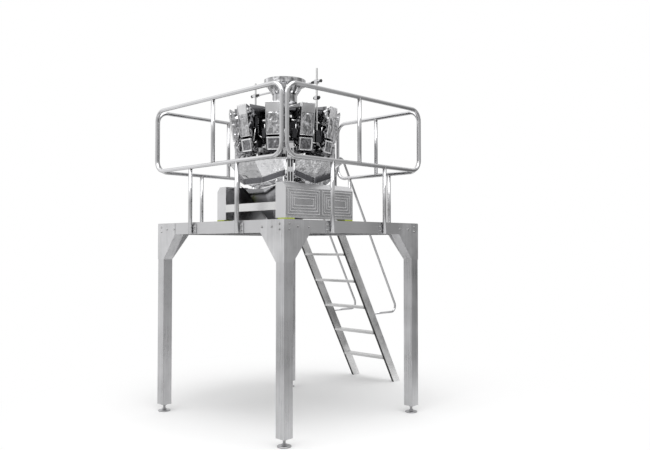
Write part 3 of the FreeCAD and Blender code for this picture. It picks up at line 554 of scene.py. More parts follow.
ladder_going = 1.030
ladder_rise = 1.880
ladder_slope = ladder_going / ladder_rise
stringer_width = 0.100
stringer_run = stringer_width * math.hypot(1.0, ladder_slope)
handrail_radius = 0.013
handrail_bend = 0.070
handrail_low = 0.850
handrail_standoff = 0.500
stringer_wall = 0.030
tread_count = 5
tread_depth = 0.120
ladder_low, ladder_high = corners_of("ladder_stringers")


def handrail(y):
    """Up from the stringer's head, over, down beside the ladder and back to the stringer."""
    deck_z = deck_high[2]
    line_start = ladder_low[0] + stringer_run / 2 + handrail_standoff
    riser_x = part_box("ladder_handrails")[0][0] + handrail_radius
    crown_z = deck_z + (line_start - riser_x) / ladder_slope
    foot_x = line_start + (deck_z - handrail_low) * ladder_slope
    stub_x = foot_x - handrail_standoff
    corners = [(riser_x, y, deck_z), (riser_x, y, crown_z), (foot_x, y, handrail_low),
               (stub_x, y, handrail_low)]
    path = rounded_path(corners, handrail_bend, steps=18)
    return tube_along(path, (0.0, 1.0, 0.0), handrail_radius, 18)


handrail_lines = (ladder_low[1] + stringer_wall / 2, ladder_high[1] - stringer_wall / 2)
handrails = piece("bent_handrails", *joined(*[handrail(y) for y in handrail_lines]), tube_steel,
                  "tube_steel", smooth=True)
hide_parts("ladder_handrails")


def ladder_lozenges():
    """The deck's lozenges on the top of every tread."""
    spreads = []
    all_faces = []
    rise = deck_high[2] / (tread_count + 1)
    start = 0
    for step in range(tread_count):
        top = rise * (step + 1)
        x = ladder_low[0] + (deck_high[2] - top) * ladder_slope + (stringer_run - tread_depth) / 2
        low = np.array((x - tread_pitch / 2, ladder_low[1] + stringer_wall))
        high = np.array((x + tread_depth + tread_pitch / 2, ladder_high[1] - stringer_wall))
        points, faces = tread_field(low, high, top)
        spreads.append(points)
        all_faces += [[index + start for index in face] for face in faces]
        start += len(points)
    return np.vstack(spreads), all_faces


points, faces = ladder_lozenges()
piece("ladder_lozenges", points, faces, tread_steel, "tread_plate")


# ---------------------------------------------------------------------------
# Weigher base.  Two boxes of brushed sheet joined by cross members, on squares
# of yellow-green plastic that keep the weigher's weight off the checker plate.
# ---------------------------------------------------------------------------

dress(metal("base sheet steel", (0.62, 0.62, 0.63), 0.30, along_x, cloud=0.25),
      "base_box_front", "base_box_back")
dress(metal("cross member steel", (0.66, 0.66, 0.66), 0.22, along_y), "base_cross_members")


def plastic(name, colour, roughness, mottle):
    """Moulded plastic with a faint mottle in colour and a fine orange-peel skin."""
    material, tree, shader = new_material(name)
    place = add_node(tree, "TexCoord")["Object"]
    noise = add_node(tree, "TexNoise", {"Vector": place, "Scale": 60.0})["Fac"]
    ramp = tree.nodes.new("ShaderNodeValToRGB")
    for stop, gain in zip(ramp.color_ramp.elements, (1.0 - mottle, 1.0 + mottle)):
        stop.color = (*[min(1.0, part * gain) for part in colour], 1.0)
    fill(tree, ramp, {"Fac": noise})
    bump = add_node(tree, "Bump", {"Strength": 0.15, "Distance": 0.0005, "Height": noise})
    fill(tree, shader, {"Roughness": roughness, "Base Color": ramp.outputs["Color"],
                        "Normal": bump["Normal"]})
    return material


dress(plastic("yellow-green plastic", (0.42, 0.50, 0.06), 0.5, 0.25), "base_pads")


# ---------------------------------------------------------------------------
# Base covers.  Each box is closed by two lift-off covers of thin sheet, pressed
# with steps one inside the other to keep it flat; the raised ridges are painted lighter as a highlight.
# ---------------------------------------------------------------------------

cover_steel = metal("cover steel", (0.50, 0.50, 0.51), 0.20, along_x, streak=0.3, cloud=0.8)
cover_steps = (0.010, 0.021, 0.036, 0.047, 0.062, 0.073, 0.088, 0.099)
cover_gap = 0.008
step_rise = 0.0045
step_blend = 0.0045
cover_corner = 0.012
sheet_edge = 0.002
edge_lines = (0.0, 0.002, 0.004)
ramp_shares = np.array((-0.1, 0.0, 0.3, 0.7, 1.0, 1.1))
inner_gap = 0.004
inner_lines = 13
ridge_share = 0.9


def pressed_lines(length):
    """Grid lines across a pressing: close together over each step, evenly spaced inside."""
    near = np.concatenate([edge_lines] + [step + ramp_shares * step_blend for step in cover_steps])
    middle = np.linspace(-length / 2 + near[-1] + inner_gap, length / 2 - near[-1] - inner_gap, inner_lines)
    return np.concatenate((near - length / 2, middle, length / 2 - near[::-1]))


def pressed_sheet(length, height):
    """Height of a stepped pressing over a grid.

    The distance in from the edge is that of a rounded rectangle, and each step
    raises the sheet by a smooth ramp where that distance passes it.
    """
    u, v = np.meshgrid(pressed_lines(length), pressed_lines(height), indexing="ij")
    off_u = np.abs(u) - (length / 2 - cover_corner)
    off_v = np.abs(v) - (height / 2 - cover_corner)
    outside = (np.hypot(np.maximum(off_u, 0), np.maximum(off_v, 0))
               + np.minimum(np.maximum(off_u, off_v), 0))
    inset = cover_corner - outside
    rise = np.zeros_like(u)
    for number, step in enumerate(cover_steps):
        ramp = np.clip((inset - step) / step_blend, 0.0, 1.0)
        rise = rise + step_rise * (ramp * ramp * (3 - 2 * ramp)) * (1 if number % 2 == 0 else -1)
    return u, v, rise


def grid_faces(columns, rows):
    """Quads of a grid of points stored column by column."""
    column, row = np.meshgrid(np.arange(columns - 1), np.arange(rows - 1), indexing="ij")
    start = column * rows + row
    return np.stack((start, start + rows, start + rows + 1, start + 1), axis=-1).reshape(-1, 4)


covers_low, covers_high = corners_of("base_covers")
cover_length = (covers_high[0] - covers_low[0] - cover_gap) / 2
cover_height = covers_high[2] - covers_low[2]


def cover(low_x, side):
    """A pressed sheet set on a box's face, with its edge turned back to the box.

    Its distance from the face is the pressing's rise less the sheet's edge; one
    more row of points all round it is set back by two edges.
    """
    u, v, rise = pressed_sheet(cover_length, cover_height)
    u, v = (np.pad(grid, 1, mode="edge") for grid in (u, v))
    rise = np.pad(rise, 1, constant_values=-2 * sheet_edge)
    face = covers_low[1] if side < 0 else covers_high[1]
    x = low_x + cover_length / 2 + u
    y = face + side * (rise - sheet_edge)
    z = covers_low[2] + cover_height / 2 + v
    faces = grid_faces(*u.shape)
    return np.stack((x, y, z), axis=-1).reshape(-1, 3), faces if side < 0 else faces[:, ::-1]


def two_finishes(made, second, chosen):
    """Gives some faces of a piece a second finish."""
    made.data.materials.append(second)
    made.data.polygons.foreach_set("material_index", np.asarray(chosen).astype(np.int32))


cover_parts = [cover(covers_low[0] + number * (cover_length + cover_gap), side)
               for side in (-1, 1) for number in (0, 1)]
points, faces = joined(*cover_parts)
covers = piece("pressed_covers", points, faces, cover_steel, "cover_steel", smooth=True)
# The raised ridges get a much lighter copy of the cover steel: a painted highlight.
two_finishes(covers, metal("ridge steel with painted highlight", (0.88, 0.88, 0.89), 0.30, along_x, cloud=0.2),
             np.abs(points[:, 1])[faces].min(axis=1) > covers_high[1] - sheet_edge + step_rise * ridge_share)
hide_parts("base_covers")


# ---------------------------------------------------------------------------
# Body.  A ten-sided drum of brushed sheet holds the drives, on a spider of flat
# bar and four columns bolted to the boxes of the base.
# ---------------------------------------------------------------------------

# The drum and its spider are coloured dark: painted shade inside the ring of hoppers.
dress(metal("drum steel, painted shade", (0.30, 0.30, 0.31), 0.20, along_z), "body_drum", "body_spider")
dress(metal("column steel", (0.62, 0.62, 0.63), 0.24, along_z), "body_columns")
body_axis = sum(corners_of("body_drum")) / 2
body_axis[2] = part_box("base_box_front")[1][2]
head_pitch = 36.0
head_angles = np.arange(10) * head_pitch
column_angles = (54.0, 126.0, 234.0, 306.0)


def round_the_body(points, faces, angles):
    """Copies of a shape drawn on the X axis, turned about the body's axis to each angle.

    The height of every point is above the base; the turn is the plane rotation
    x cos a - y sin a, x sin a + y cos a.
    """
    angle = np.radians(np.asarray(angles, float))[:, None]
    points = np.asarray(points, float)
    x = points[None, :, 0] * np.cos(angle) - points[None, :, 1] * np.sin(angle)
    y = points[None, :, 0] * np.sin(angle) + points[None, :, 1] * np.cos(angle)
    z = np.broadcast_to(points[None, :, 2], x.shape)
    spread = np.stack((x, y, z), axis=-1) + body_axis
    offsets = (np.arange(len(angle)) * len(points))[:, None, None]
    faces = np.asarray(faces)
    return spread.reshape(-1, 3), (faces[None] + offsets).reshape(-1, faces.shape[1])


def fan(start, count, hub):
    """Closes an even ring of points with quads, each from a middle point to three in a row."""
    first = np.arange(0, count, 2)
    return np.stack((start + first, start + (first + 1) % count, start + (first + 2) % count,
                     np.full(len(first), hub)), axis=1)


def block(low, high, chamfer=0.0015):
    """A block with chamfered upright edges: an octagon in plan, drawn in at both ends.

    The plan's corners are those of the rectangle, each moved along one side and
    then the other by the chamfer; four rings run from the drawn-in foot to the
    drawn-in head, with a middle point to close each end.
    """
    low, high = np.asarray(low, float), np.asarray(high, float)
    middle, half = (low + high) / 2, (high - low) / 2
    signs = np.array(((1, -1), (1, 1), (-1, 1), (-1, -1)), float)
    across = np.array(((0, 1), (1, 0), (0, 1), (1, 0)), float)
    count = 8
    plan = np.empty((count, 2))
    plan[0::2] = signs * (half[:2] - chamfer * across)
    plan[1::2] = signs * (half[:2] - chamfer * (1 - across))
    inner = plan * (1 - chamfer / half[:2])
    heights = (-half[2], -half[2] + chamfer, half[2] - chamfer, half[2])
    rings = [np.column_stack((ring, np.full(count, height)))
             for ring, height in zip((inner, plan, plan, inner), heights)]
    ends = np.array(((0, 0, -half[2]), (0, 0, half[2])))
    points = np.vstack(rings + [ends]) + middle
    hub = len(rings) * count
    walls = tube_faces(len(rings), count)[:, ::-1]
    return points, np.vstack((walls, fan(0, count, hub)[:, ::-1], fan(hub - count, count, hub + 1)))


# ---------------------------------------------------------------------------
# Hoppers.  Mirror-finished stainless sheet, folded at both edges and hemmed at
# the foot, below the spun cone that spreads the product.  A feed hopper's front
# is a flat hanging plate over a rounded panel; a weigh hopper's is sunk.
# ---------------------------------------------------------------------------

def bump_under(material, height, strength, depth):
    """Puts one more bump under those that a material has: broad relief beneath the fine grain."""
    tree = material.node_tree
    lowest = tree.nodes["Principled BSDF"].inputs["Normal"].links[0].from_node
    while lowest.inputs["Normal"].links:
        lowest = lowest.inputs["Normal"].links[0].from_node
    broad = add_node(tree, "Bump", {"Height": height, "Strength": strength, "Distance": depth})
    fill(tree, lowest, {"Normal": broad["Normal"]})


def wavy(material, pitch, depth):
    """Adds the slight waves of polished thin sheet: smooth noise that rises and falls over a pitch."""
    tree = material.node_tree
    place = add_node(tree, "TexCoord")["Object"]
    swell = add_node(tree, "TexNoise", {"Vector": place, "Scale": 1.0 / pitch, "Detail": 1.5})["Fac"]
    bump_under(material, swell, 1.0, depth)


# A very strong cloud share paints broad dark and light patches on the hopper faces: painted reflections over
# the mirror finish.
mirror_steel = metal("mirror hopper steel, painted reflections", (0.46, 0.46, 0.47), 0.06, along_z, streak=0.08, cloud=1.2,
                     relief=0.03)
wavy(mirror_steel, pitch=0.07, depth=0.034)
flange_steel = metal("hopper flange steel", (0.74, 0.74, 0.75), 0.16, along_z, streak=0.10, relief=0.05)
plate_steel = metal("brushed plate steel", (0.80, 0.80, 0.81), 0.34, along_z, streak=0.35, cloud=0.4)
dark_mirror_steel = metal("dark mirror steel", (0.22, 0.22, 0.23), 0.08, along_z, cloud=0.5)
wavy(dark_mirror_steel, pitch=0.06, depth=0.03)
dress(mirror_steel, "feed_hoppers", "weigh_hoppers")
# The feeder pans are coloured dark: painted shade between the tops of the hoppers.
dress(metal("pan steel, painted shade", (0.24, 0.24, 0.25), 0.16, along_z, cloud=0.4), "feeder_pans")
dress(metal("gate steel", (0.26, 0.26, 0.27), 0.12, along_z), "feed_gates", "weigh_gates")
dress(metal("cone steel", (0.70, 0.70, 0.71), 0.14, along_z), "dispersion_cone")
hopper_half = 0.070
feed_face = ((0.555, 0.760), (0.507, 0.455))
weigh_face = ((0.500, 0.435), (0.478, 0.315))
skin_margin = 0.001
skin_tuck = 0.0004


def face_length(face):
    """The length of a hopper's face down its slope."""
    (top_r, top_z), (low_r, low_z) = face
    return math.hypot(top_r - low_r, top_z - low_z)


def face_place(face, down, across, proud):
    """A place on a hopper's outer face: down its slope, across it, and proud along its normal."""
    (top_r, top_z), (low_r, low_z) = face
    length = face_length(face)
    slope = np.array(((low_r - top_r) / length, (low_z - top_z) / length))
    normal = np.array((-slope[1], slope[0]))
    r = top_r + slope[0] * down + normal[0] * proud
    z = top_z + slope[1] * down + normal[1] * proud
    return np.stack((r, across, z), axis=-1)


def skin_grid(face, rows, columns):
    """Even steps down a face and across it, a margin inside its edges."""
    down = np.linspace(skin_margin, face_length(face) - skin_margin, rows)
    across = np.linspace(-hopper_half + skin_margin, hopper_half - skin_margin, columns)
    return np.meshgrid(down, across, indexing="ij")


def closed_skin(face, down, across, proud):
    """A skin over a hopper's face whose border is turned back into the face."""
    down, across = (np.pad(grid, 1, mode="edge") for grid in (down, across))
    proud = np.pad(proud, 1, constant_values=-skin_tuck)
    points = face_place(face, down, across, proud).reshape(-1, 3)
    return points, grid_faces(*down.shape)


def soft_step(value, start, width):
    """Rises from 0 to 1 past a start: 3t^2 - 2t^3 of the share of the width that is passed."""
    share = np.clip((value - start) / width, 0.0, 1.0)
    return share * share * (3.0 - 2.0 * share)


plate_rise = 0.0012
plate_depth = 0.096
panel_start = 0.100
panel_foot = 0.016
panel_side = 0.013
panel_corner = 0.030
panel_edge = 0.006
panel_rise = 0.0035
panel_bulge = 0.0075
bulge_power = 0.6


def feed_skin(rows=57, columns=37):
    """The feed hopper's front: flat at the top, then a panel bulged across and along.

    The panel's height is a step round its edge plus a bulge that is the product
    of one less the square of the share across and a power of a sine of the share down.
    """
    down, across = skin_grid(feed_face, rows, columns)
    start, end, width = panel_start, face_length(feed_face) - panel_foot, hopper_half - panel_side
    off_side = np.abs(across) - width + panel_corner
    off_end = np.abs(down - (start + end) / 2) - (end - start) / 2 + panel_corner
    off = np.hypot(np.maximum(off_side, 0), np.maximum(off_end, 0)) - panel_corner
    inside = 1.0 - soft_step(off, -panel_edge, panel_edge)
    share = np.clip(across / width, -1, 1)
    along = np.clip((down - start) / (end - start), 0, 1)
    bulge = panel_bulge * (1 - share ** 2) * np.sin(np.pi * along) ** bulge_power
    return closed_skin(feed_face, down, across, plate_rise + inside * (panel_rise + bulge))


points, faces = round_the_body(*feed_skin(), head_angles)
fronts = piece("feed_hopper_fronts", points, faces, mirror_steel, "hopper_steel", smooth=True)
two_finishes(fronts, plate_steel,
             points[faces, 2].min(axis=1) > body_axis[2] + feed_face[0][1] - plate_depth)

border_width = 0.010
border_step = 0.004
border_rise = 0.0060
sunk_depth = 0.0050
dish_rise = 0.0030
sunk_inset = 0.012


def weigh_skin(rows=31, columns=31):
    """The weigh hopper's front: a sunk panel inside a raised border.

    The height is the border's, less a soft step where the distance in from the
    edge passes the border's width, plus a dish of one less the square of the
    share across.
    """
    down, across = skin_grid(weigh_face, rows, columns)
    border = np.minimum(hopper_half - np.abs(across), np.minimum(down, face_length(weigh_face) - down))
    sunk = soft_step(border, border_width, border_step)
    dish = (1 - (across / hopper_half) ** 2) * sunk
    return closed_skin(weigh_face, down, across, border_rise - sunk_depth * sunk + dish_rise * dish)


def in_sunk_panel(points):
    """Which points lie inside a weigh hopper's border, by their turn from the head and their height."""
    east, north = (points - body_axis)[:, :2].T
    pitch = np.radians(head_pitch)
    angle = np.arctan2(north, east)
    off_head = angle - pitch * np.round(angle / pitch)
    fall = weigh_face[0][1] - weigh_face[1][1]
    share = (body_axis[2] + weigh_face[0][1] - points[:, 2]) / fall
    return ((np.abs(np.hypot(east, north) * np.sin(off_head)) < hopper_half - sunk_inset)
            & (np.abs(share - 0.5) < 0.5 - sunk_inset / fall))


points, faces = round_the_body(*weigh_skin(), head_angles)
fronts = piece("weigh_hopper_fronts", points, faces, flange_steel, "hopper_steel", smooth=True)
two_finishes(fronts, dark_mirror_steel, in_sunk_panel(points)[faces].all(axis=1))


def half_round(turn, proud):
    """Height of a fold: the square root of a sine, tucked into the face."""
    return proud * np.sin(turn) ** 0.5 - skin_tuck


def flange(face, across, width=0.006, proud=0.0085, rows=13, steps=7):
    """A folded edge down a hopper's face: a half-round ridge carried down the slope."""
    down, turn = np.meshgrid(np.linspace(0.0, face_length(face), rows), np.linspace(0.0, np.pi, steps),
                             indexing="ij")
    rise = half_round(turn, proud)
    rise[[0, -1]] = -skin_tuck
    points = face_place(face, down, across + width / 2 * np.cos(turn)[..., ::-1], rise)
    return points.reshape(-1, 3), grid_faces(*down.shape)


def bottom_bar(face, thickness=0.006, proud=0.0095, steps=7, columns=9):
    """The hem along the bottom of a hopper's face: the same ridge carried across."""
    turn, across = np.meshgrid(np.linspace(0.0, np.pi, steps),
                               np.linspace(-hopper_half, hopper_half, columns), indexing="ij")
    rise = half_round(turn, proud)
    rise[:, [0, -1]] = -skin_tuck
    down = face_length(face) - thickness / 2 - thickness / 2 * np.cos(turn)
    return face_place(face, down, across, rise).reshape(-1, 3), grid_faces(*down.shape)


flange_inset = 0.0035
flange_line = hopper_half - flange_inset
flanges = [flange(face, across) for face in (feed_face, weigh_face) for across in (-flange_line, flange_line)]
flanges += [bottom_bar(feed_face), bottom_bar(weigh_face)]
piece("hopper_flanges", *round_the_body(*joined(*flanges), head_angles), flange_steel, "hopper_steel",
      smooth=True)


# ---------------------------------------------------------------------------
# Gate drives.  Between the hoppers stand cast housings with rollers, toggle
# links, springs and pins that swing the gates open; the housings' near-black colour is partly their own and
# partly painted shade.
# ---------------------------------------------------------------------------

dark_casting_and_shade = metal("dark casting and painted shade", (0.07, 0.07, 0.075), 0.30, (70.0, 70.0, 70.0), streak=0.5)
link_steel = metal("link steel", (0.62, 0.62, 0.62), 0.18, even_grain)
spring_steel = metal("spring steel", (0.20, 0.20, 0.21), 0.25, even_grain)
# The actuators and pan drives between the hoppers get the near-black casting, partly as painted shade.
dress(dark_casting_and_shade, "hopper_actuators", "pan_vibrators")


def rod_between(start, end, radius, sides=8):
    """A round bar from one place to another."""
    start, end = np.asarray(start, float), np.asarray(end, float)
    along = (end - start) / np.linalg.norm(end - start)
    return tube_along(np.linspace(start, end, 3), turned(along)[:, 0], radius, sides)


def coil(start, end, radius, wire, turns=7, steps=9, sides=5):
    """A spring: a circle of the coil's radius carried evenly from one end to the other."""
    start, end = np.asarray(start, float), np.asarray(end, float)
    count = turns * steps + 1
    share = np.linspace(0.0, 1.0, count)[:, None]
    angle = share * 2.0 * np.pi * turns
    frame_turn = turned(end - start)
    outward = frame_turn[:, 0] * np.cos(angle) + frame_turn[:, 1] * np.sin(angle)
    path = start + (end - start) * share + radius * outward
    ahead = np.gradient(path, axis=0)
    ahead = ahead / np.linalg.norm(ahead, axis=1, keepdims=True)
    side = np.cross(ahead, outward)
    ring_turn = np.linspace(0.0, 2.0 * np.pi, sides, endpoint=False)
    ring = outward[:, None] * np.cos(ring_turn)[:, None] + side[:, None] * np.sin(ring_turn)[:, None]
    return (path[:, None] + ring * wire).reshape(-1, 3), tube_faces(count, sides)


dark_parts = [
    block((0.330, -0.052, 0.640), (0.470, 0.052, 0.668)),
    block((0.395, 0.080, 0.545), (0.455, 0.118, 0.640)),
    block((0.400, -0.118, 0.430), (0.470, -0.084, 0.520)),
    block((0.392, 0.078, 0.350), (0.448, 0.112, 0.420)),
    block((0.405, -0.112, 0.320), (0.452, -0.082, 0.372)),
    rod_between((0.40, -0.135, 0.70), (0.46, -0.085, 0.70), 0.016, 12),
]
link_parts = [
    rod_between((0.470, -0.094, 0.560), (0.452, -0.090, 0.440), 0.0045),
    rod_between((0.462, 0.098, 0.530), (0.478, 0.092, 0.410), 0.0045),
    rod_between((0.430, -0.100, 0.395), (0.470, -0.084, 0.330), 0.0040),
    rod_between((0.425, 0.100, 0.470), (0.425, 0.150, 0.440), 0.0060),
    rod_between((0.440, -0.125, 0.600), (0.440, -0.080, 0.600), 0.0085, 12),
    rod_between((0.465, 0.080, 0.395), (0.465, 0.118, 0.395), 0.0080, 12),
    rod_between((0.448, -0.120, 0.345), (0.448, -0.080, 0.345), 0.0070, 12),
]
spring_parts = [coil((0.452, 0.124, 0.620), (0.440, 0.116, 0.470), 0.0085, 0.0018),
                coil((0.448, -0.122, 0.520), (0.440, -0.112, 0.390), 0.0075, 0.0016)]
piece("drive_housings", *round_the_body(*joined(*dark_parts), head_angles), dark_casting_and_shade, "foot_steel")
piece("gate_links", *round_the_body(*joined(*link_parts), head_angles), link_steel, "hopper_steel",
      smooth=True)
piece("gate_springs", *round_the_body(*joined(*spring_parts), head_angles), spring_steel, "hopper_steel",
      smooth=True)


# ---------------------------------------------------------------------------
# Discharge.  Ten chute plates hang on a ring and lean in over a funnel that
# drops the product through the middle of the base.
# ---------------------------------------------------------------------------

def emboss(material, pitch, depth, unevenness=0.35, spread=0.45):
    """Adds round dimples to a metal: a bump from the distance to scattered middles."""
    tree = material.node_tree
    place = add_node(tree, "TexCoord")["Object"]
    cells = add_node(tree, "TexVoronoi", {"Vector": place, "Scale": 1.0 / pitch, "Randomness": unevenness})
    dome = add_node(tree, "MapRange", {"Value": cells["Distance"], "From Max": spread},
                    interpolation_type="SMOOTHSTEP")["Result"]
    bump_under(material, dome, 0.5, depth)


chute_steel = metal("dimpled chute steel", (0.60, 0.60, 0.61), 0.20, (60.0, 60.0, 20.0), cloud=0.5)
emboss(chute_steel, pitch=0.016, depth=0.0022)
wavy(chute_steel, pitch=0.05, depth=0.010)
dress(chute_steel, "discharge_chutes", "chute_ring")
# The collecting funnel and spout are coloured dark: painted shade under the chutes.
dress(metal("funnel steel, painted shade", (0.26, 0.26, 0.27), 0.12, (40.0, 40.0, 20.0), cloud=0.35),
      "collecting_funnel", "discharge_spout")
half_pitch = head_pitch / 2
half_head = math.radians(half_pitch)
chute_top = 0.235
chute_top_apothem = 0.545
chute_rim_radius = 0.430
chute_rim_reach = 0.485
chute_fall = 0.170
chute_slope = chute_fall / (chute_top_apothem - chute_rim_radius * math.cos(half_head))
lip_depth = 0.060
lip_skin = 0.0032
hem_drop = 0.004
hem_short = 0.006
hem_swell = 0.0015
hem_thickness = 0.0012
plain_trim = 0.0035
column_trim = 0.0475


def chute_hem(angle, rows=7, columns=9):
    """The rolled hem that covers a chute's lip.

    Across, it runs straight between the chute's two lower corners; its top
    follows the chute's fall, and down the lip it swells by a half sine.
    """
    at_column = [(angle + turn) % 360 in column_angles for turn in (-half_pitch, half_pitch)]
    trims = np.where(at_column, column_trim, plain_trim)
    radii = np.where(at_column, chute_rim_reach, chute_rim_radius) + lip_skin / math.cos(half_head)
    apothem = radii * math.cos(half_head)
    edge_y = radii * math.sin(half_head) * (-1, 1)
    low_y = edge_y[0] + trims[0]
    high_y = edge_y[1] - trims[1]
    lean = (apothem[1] - apothem[0]) / (high_y - low_y)
    across, down = np.meshgrid(np.linspace(low_y, high_y, columns), np.linspace(0, 1, rows), indexing="ij")
    x = apothem[0] + (across - low_y) * lean
    top = chute_top - chute_slope * (chute_top_apothem - x) - hem_drop
    swell = hem_swell * np.sin(np.pi * down)
    z = top - down * (lip_depth - hem_short)
    out = np.array((1.0, -lean)) / math.hypot(1.0, lean)
    points = np.stack((x + out[0] * swell, across + out[1] * swell, z), axis=-1)
    return points.reshape(-1, 3), grid_faces(columns, rows)[:, ::-1]


# The hems are coloured near black: a band of painted shade along the chutes' lower edges.
shaded_hem_steel = metal("hem steel, painted shade", (0.13, 0.13, 0.14), 0.28, (60.0, 60.0, 20.0), cloud=0.5)
hems = [round_the_body(*chute_hem(angle), [angle]) for angle in head_angles]
hem = piece("chute_hems", *joined(*hems), shaded_hem_steel, "chute_steel", smooth=True)
solid = hem.modifiers.new("thickness", "SOLIDIFY")
solid.thickness = hem_thickness
solid.offset = -1.0


# ---------------------------------------------------------------------------
# Column plates.  Each column is two bent plates with rows of long slots between
# them, where the chutes' hooks and the cables pass.
# ---------------------------------------------------------------------------

column_face = 0.510
slot_sink = 0.0004
slot_proud = 0.0009
slot_width = 0.015
slot_lines = (-0.013, 0.013)
slot_rows = ((0.016, 0.108), (0.150, 0.222), (0.262, 0.330))
# The slots are near-black patches on the column's face, not openings: painted shade where a slot opens into
# the column.
slot_steel = metal("shaded slot steel", (0.035, 0.035, 0.037), 0.35, (60.0, 60.0, 60.0), streak=0.4)


def obround(middle_y, low, high, width, steps=7):
    """A long slot's outline on a column's face: two half circles and the sides between."""
    radius = width / 2
    turn = np.linspace(0.0, np.pi, steps)
    top = np.column_stack((radius * np.cos(turn), high - radius + radius * np.sin(turn)))
    foot = np.column_stack((-radius * np.cos(turn), low + radius - radius * np.sin(turn)))
    outline = np.vstack((top, foot)) + (middle_y, 0.0)
    count = len(outline)
    near = np.column_stack((np.full(count, column_face - slot_sink), outline))
    far = np.column_stack((np.full(count, column_face + slot_proud), outline))
    hub = np.array(((column_face + slot_proud, middle_y, (low + high) / 2),))
    walls = tube_faces(2, count)[:, ::-1]
    return np.vstack((near, far, hub)), np.vstack((walls, fan(count, count, 2 * count)))


slots = [obround(middle_y, low, high, slot_width) for middle_y in slot_lines for low, high in slot_rows]
piece("column_slots", *round_the_body(*joined(*slots), column_angles), slot_steel, "foot_steel")


# ---------------------------------------------------------------------------
# Infeed.  A slotted funnel of polished sheet, on arms that slide on two threaded
# rods and are clamped at their height with black star knobs.
# ---------------------------------------------------------------------------

# Over the real grain, a very strong streak on a grain stretched upright paints dark and light bands round the
# funnel: painted reflections.
infeed_steel = metal("infeed steel, painted reflections", (0.46, 0.46, 0.47), 0.08, (14.0, 14.0, 0.6), streak=3.2, cloud=0.35,
                     relief=0.05)
wavy(infeed_steel, pitch=0.09, depth=0.020)
dress(infeed_steel, "infeed_funnel")
dress(metal("threaded rod steel", (0.66, 0.66, 0.66), 0.14, (40.0, 40.0, 900.0), streak=0.5, relief=0.6),
      "funnel_rods")
dress(tube_steel, "funnel_arms")
black_plastic = plastic("black plastic", (0.02, 0.02, 0.02), 0.35, 0.3)
knob_radius = 0.017
knob_length = 0.020
knob_profile = [(0.0, 0.0), (0.0095, 0.0), (0.010, 0.003), (0.0155, 0.0045), (knob_radius, 0.007),
                (knob_radius, 0.015), (0.0145, 0.019), (0.0, knob_length)]
knob_sides = 40
knob_lobes = 5
lobe_share = 0.09
rod_inset = 0.020
knobs_low, knobs_high = corners_of("clamp_knobs")
rods_low, rods_high = corners_of("funnel_rods")
rod_y = (rods_high[1] - rods_low[1]) / 2 - rod_inset
arm_z = knobs_high[2] - knob_radius
stop_z = knobs_low[2] + knob_radius
arm_end = knobs_high[1] - knob_length
half_clamp = 0.018


def lobed_knob():
    """A star knob: the profile's radius times one less a small cosine of five turns."""
    points, faces = spun(knob_profile, knob_sides)
    angle = np.arctan2(points[:, 1], points[:, 0])
    points[:, :2] *= (1.0 - lobe_share * (1.0 - np.cos(knob_lobes * angle)))[:, None]
    return points, faces


axis_x = body_axis[0]
knob_places = [(axis_x, -arm_end, arm_z), (axis_x, arm_end, arm_z),
               (axis_x, -rod_y - half_clamp, stop_z), (axis_x, -rod_y + half_clamp, stop_z)]
knob_outwards = [(0, -1, 0), (0, 1, 0)] * 2
knobs = piece("star_knobs", *copies(*lobed_knob(), knob_places, knob_outwards), black_plastic,
              "knob_plastic", smooth=True)
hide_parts("clamp_knobs")

sleeve_profile = [(0.0, 0.0), (0.0135, 0.0), (0.0145, 0.002), (0.0145, 0.034), (0.0105, 0.052),
                  (0.0, 0.052)]
sleeve_places = [(axis_x, side * (rod_y - half_clamp), arm_z) for side in (-1, 1)]
sleeves = copies(*spun(sleeve_profile, 24), sleeve_places, [(0, 1, 0), (0, -1, 0)])
piece("arm_sleeves", *sleeves, black_plastic, "knob_plastic", smooth=True)

block_chamfer = 0.004
rod_blocks = [block((rod_y - 0.034, -0.036, 0.402), (rod_y + 0.034, 0.036, 0.470), block_chamfer),
              block((rod_y - 0.026, -0.030, 0.470), (rod_y + 0.026, 0.030, 0.520), block_chamfer)]
piece("rod_blocks", *round_the_body(*joined(*rod_blocks), (90.0, 270.0)), dark_casting_and_shade, "foot_steel")


# ---------------------------------------------------------------------------
# Floor and light.  A pale floor that turns plain white away from the machine, a
# white room lit mostly from one side, with grey flags between its lights, and
# two large soft lamps overhead.
# ---------------------------------------------------------------------------

wall_mean = 0.62
wall_swing = 0.24
wall_azimuth = 125.0
flag_count = 6
flag_swing = 0.24
overhead_swing = 0.9
overhead_most = 0.40


def surround_group():
    """How bright the studio looks in a direction: white to the eye, graded in reflections.

    The grading is a mean plus a cosine of the azimuth less that of the brightest
    wall, plus a finer cosine for the lamps and grey flags that stand by turns,
    plus a share of the height, up to a limit, for the light overhead.
    """
    group, given, result = new_group("studio surround",
                                     (("Direction", "Vector", None), ("Reflected", "Float", None)),
                                     (("Colour", "Color"),))
    part = add_node(group, "SeparateXYZ", {0: given["Direction"]})
    azimuth = math_step(group, "ARCTAN2", part["Y"], part["X"])
    wide = math_step(group, "COSINE", math_step(group, "SUBTRACT", azimuth, math.radians(wall_azimuth)))
    fine = math_step(group, "COSINE", math_step(group, "MULTIPLY", azimuth, float(flag_count)))
    upward = math_step(group, "MULTIPLY", math_step(group, "MAXIMUM", part["Z"], 0.0), overhead_swing)
    tone = math_step(group, "MULTIPLY_ADD", wide, wall_swing, wall_mean)
    tone = math_step(group, "MULTIPLY_ADD", fine, flag_swing, tone)
    tone = math_step(group, "ADD", tone, math_step(group, "MINIMUM", upward, overhead_most))
    blend = add_node(group, "Mix", {"Factor": given["Reflected"], "A": 1.0, "B": tone}, data_type="FLOAT")
    fill(group, result, {"Colour": blend["Result"]})
    return group


surround = surround_group()


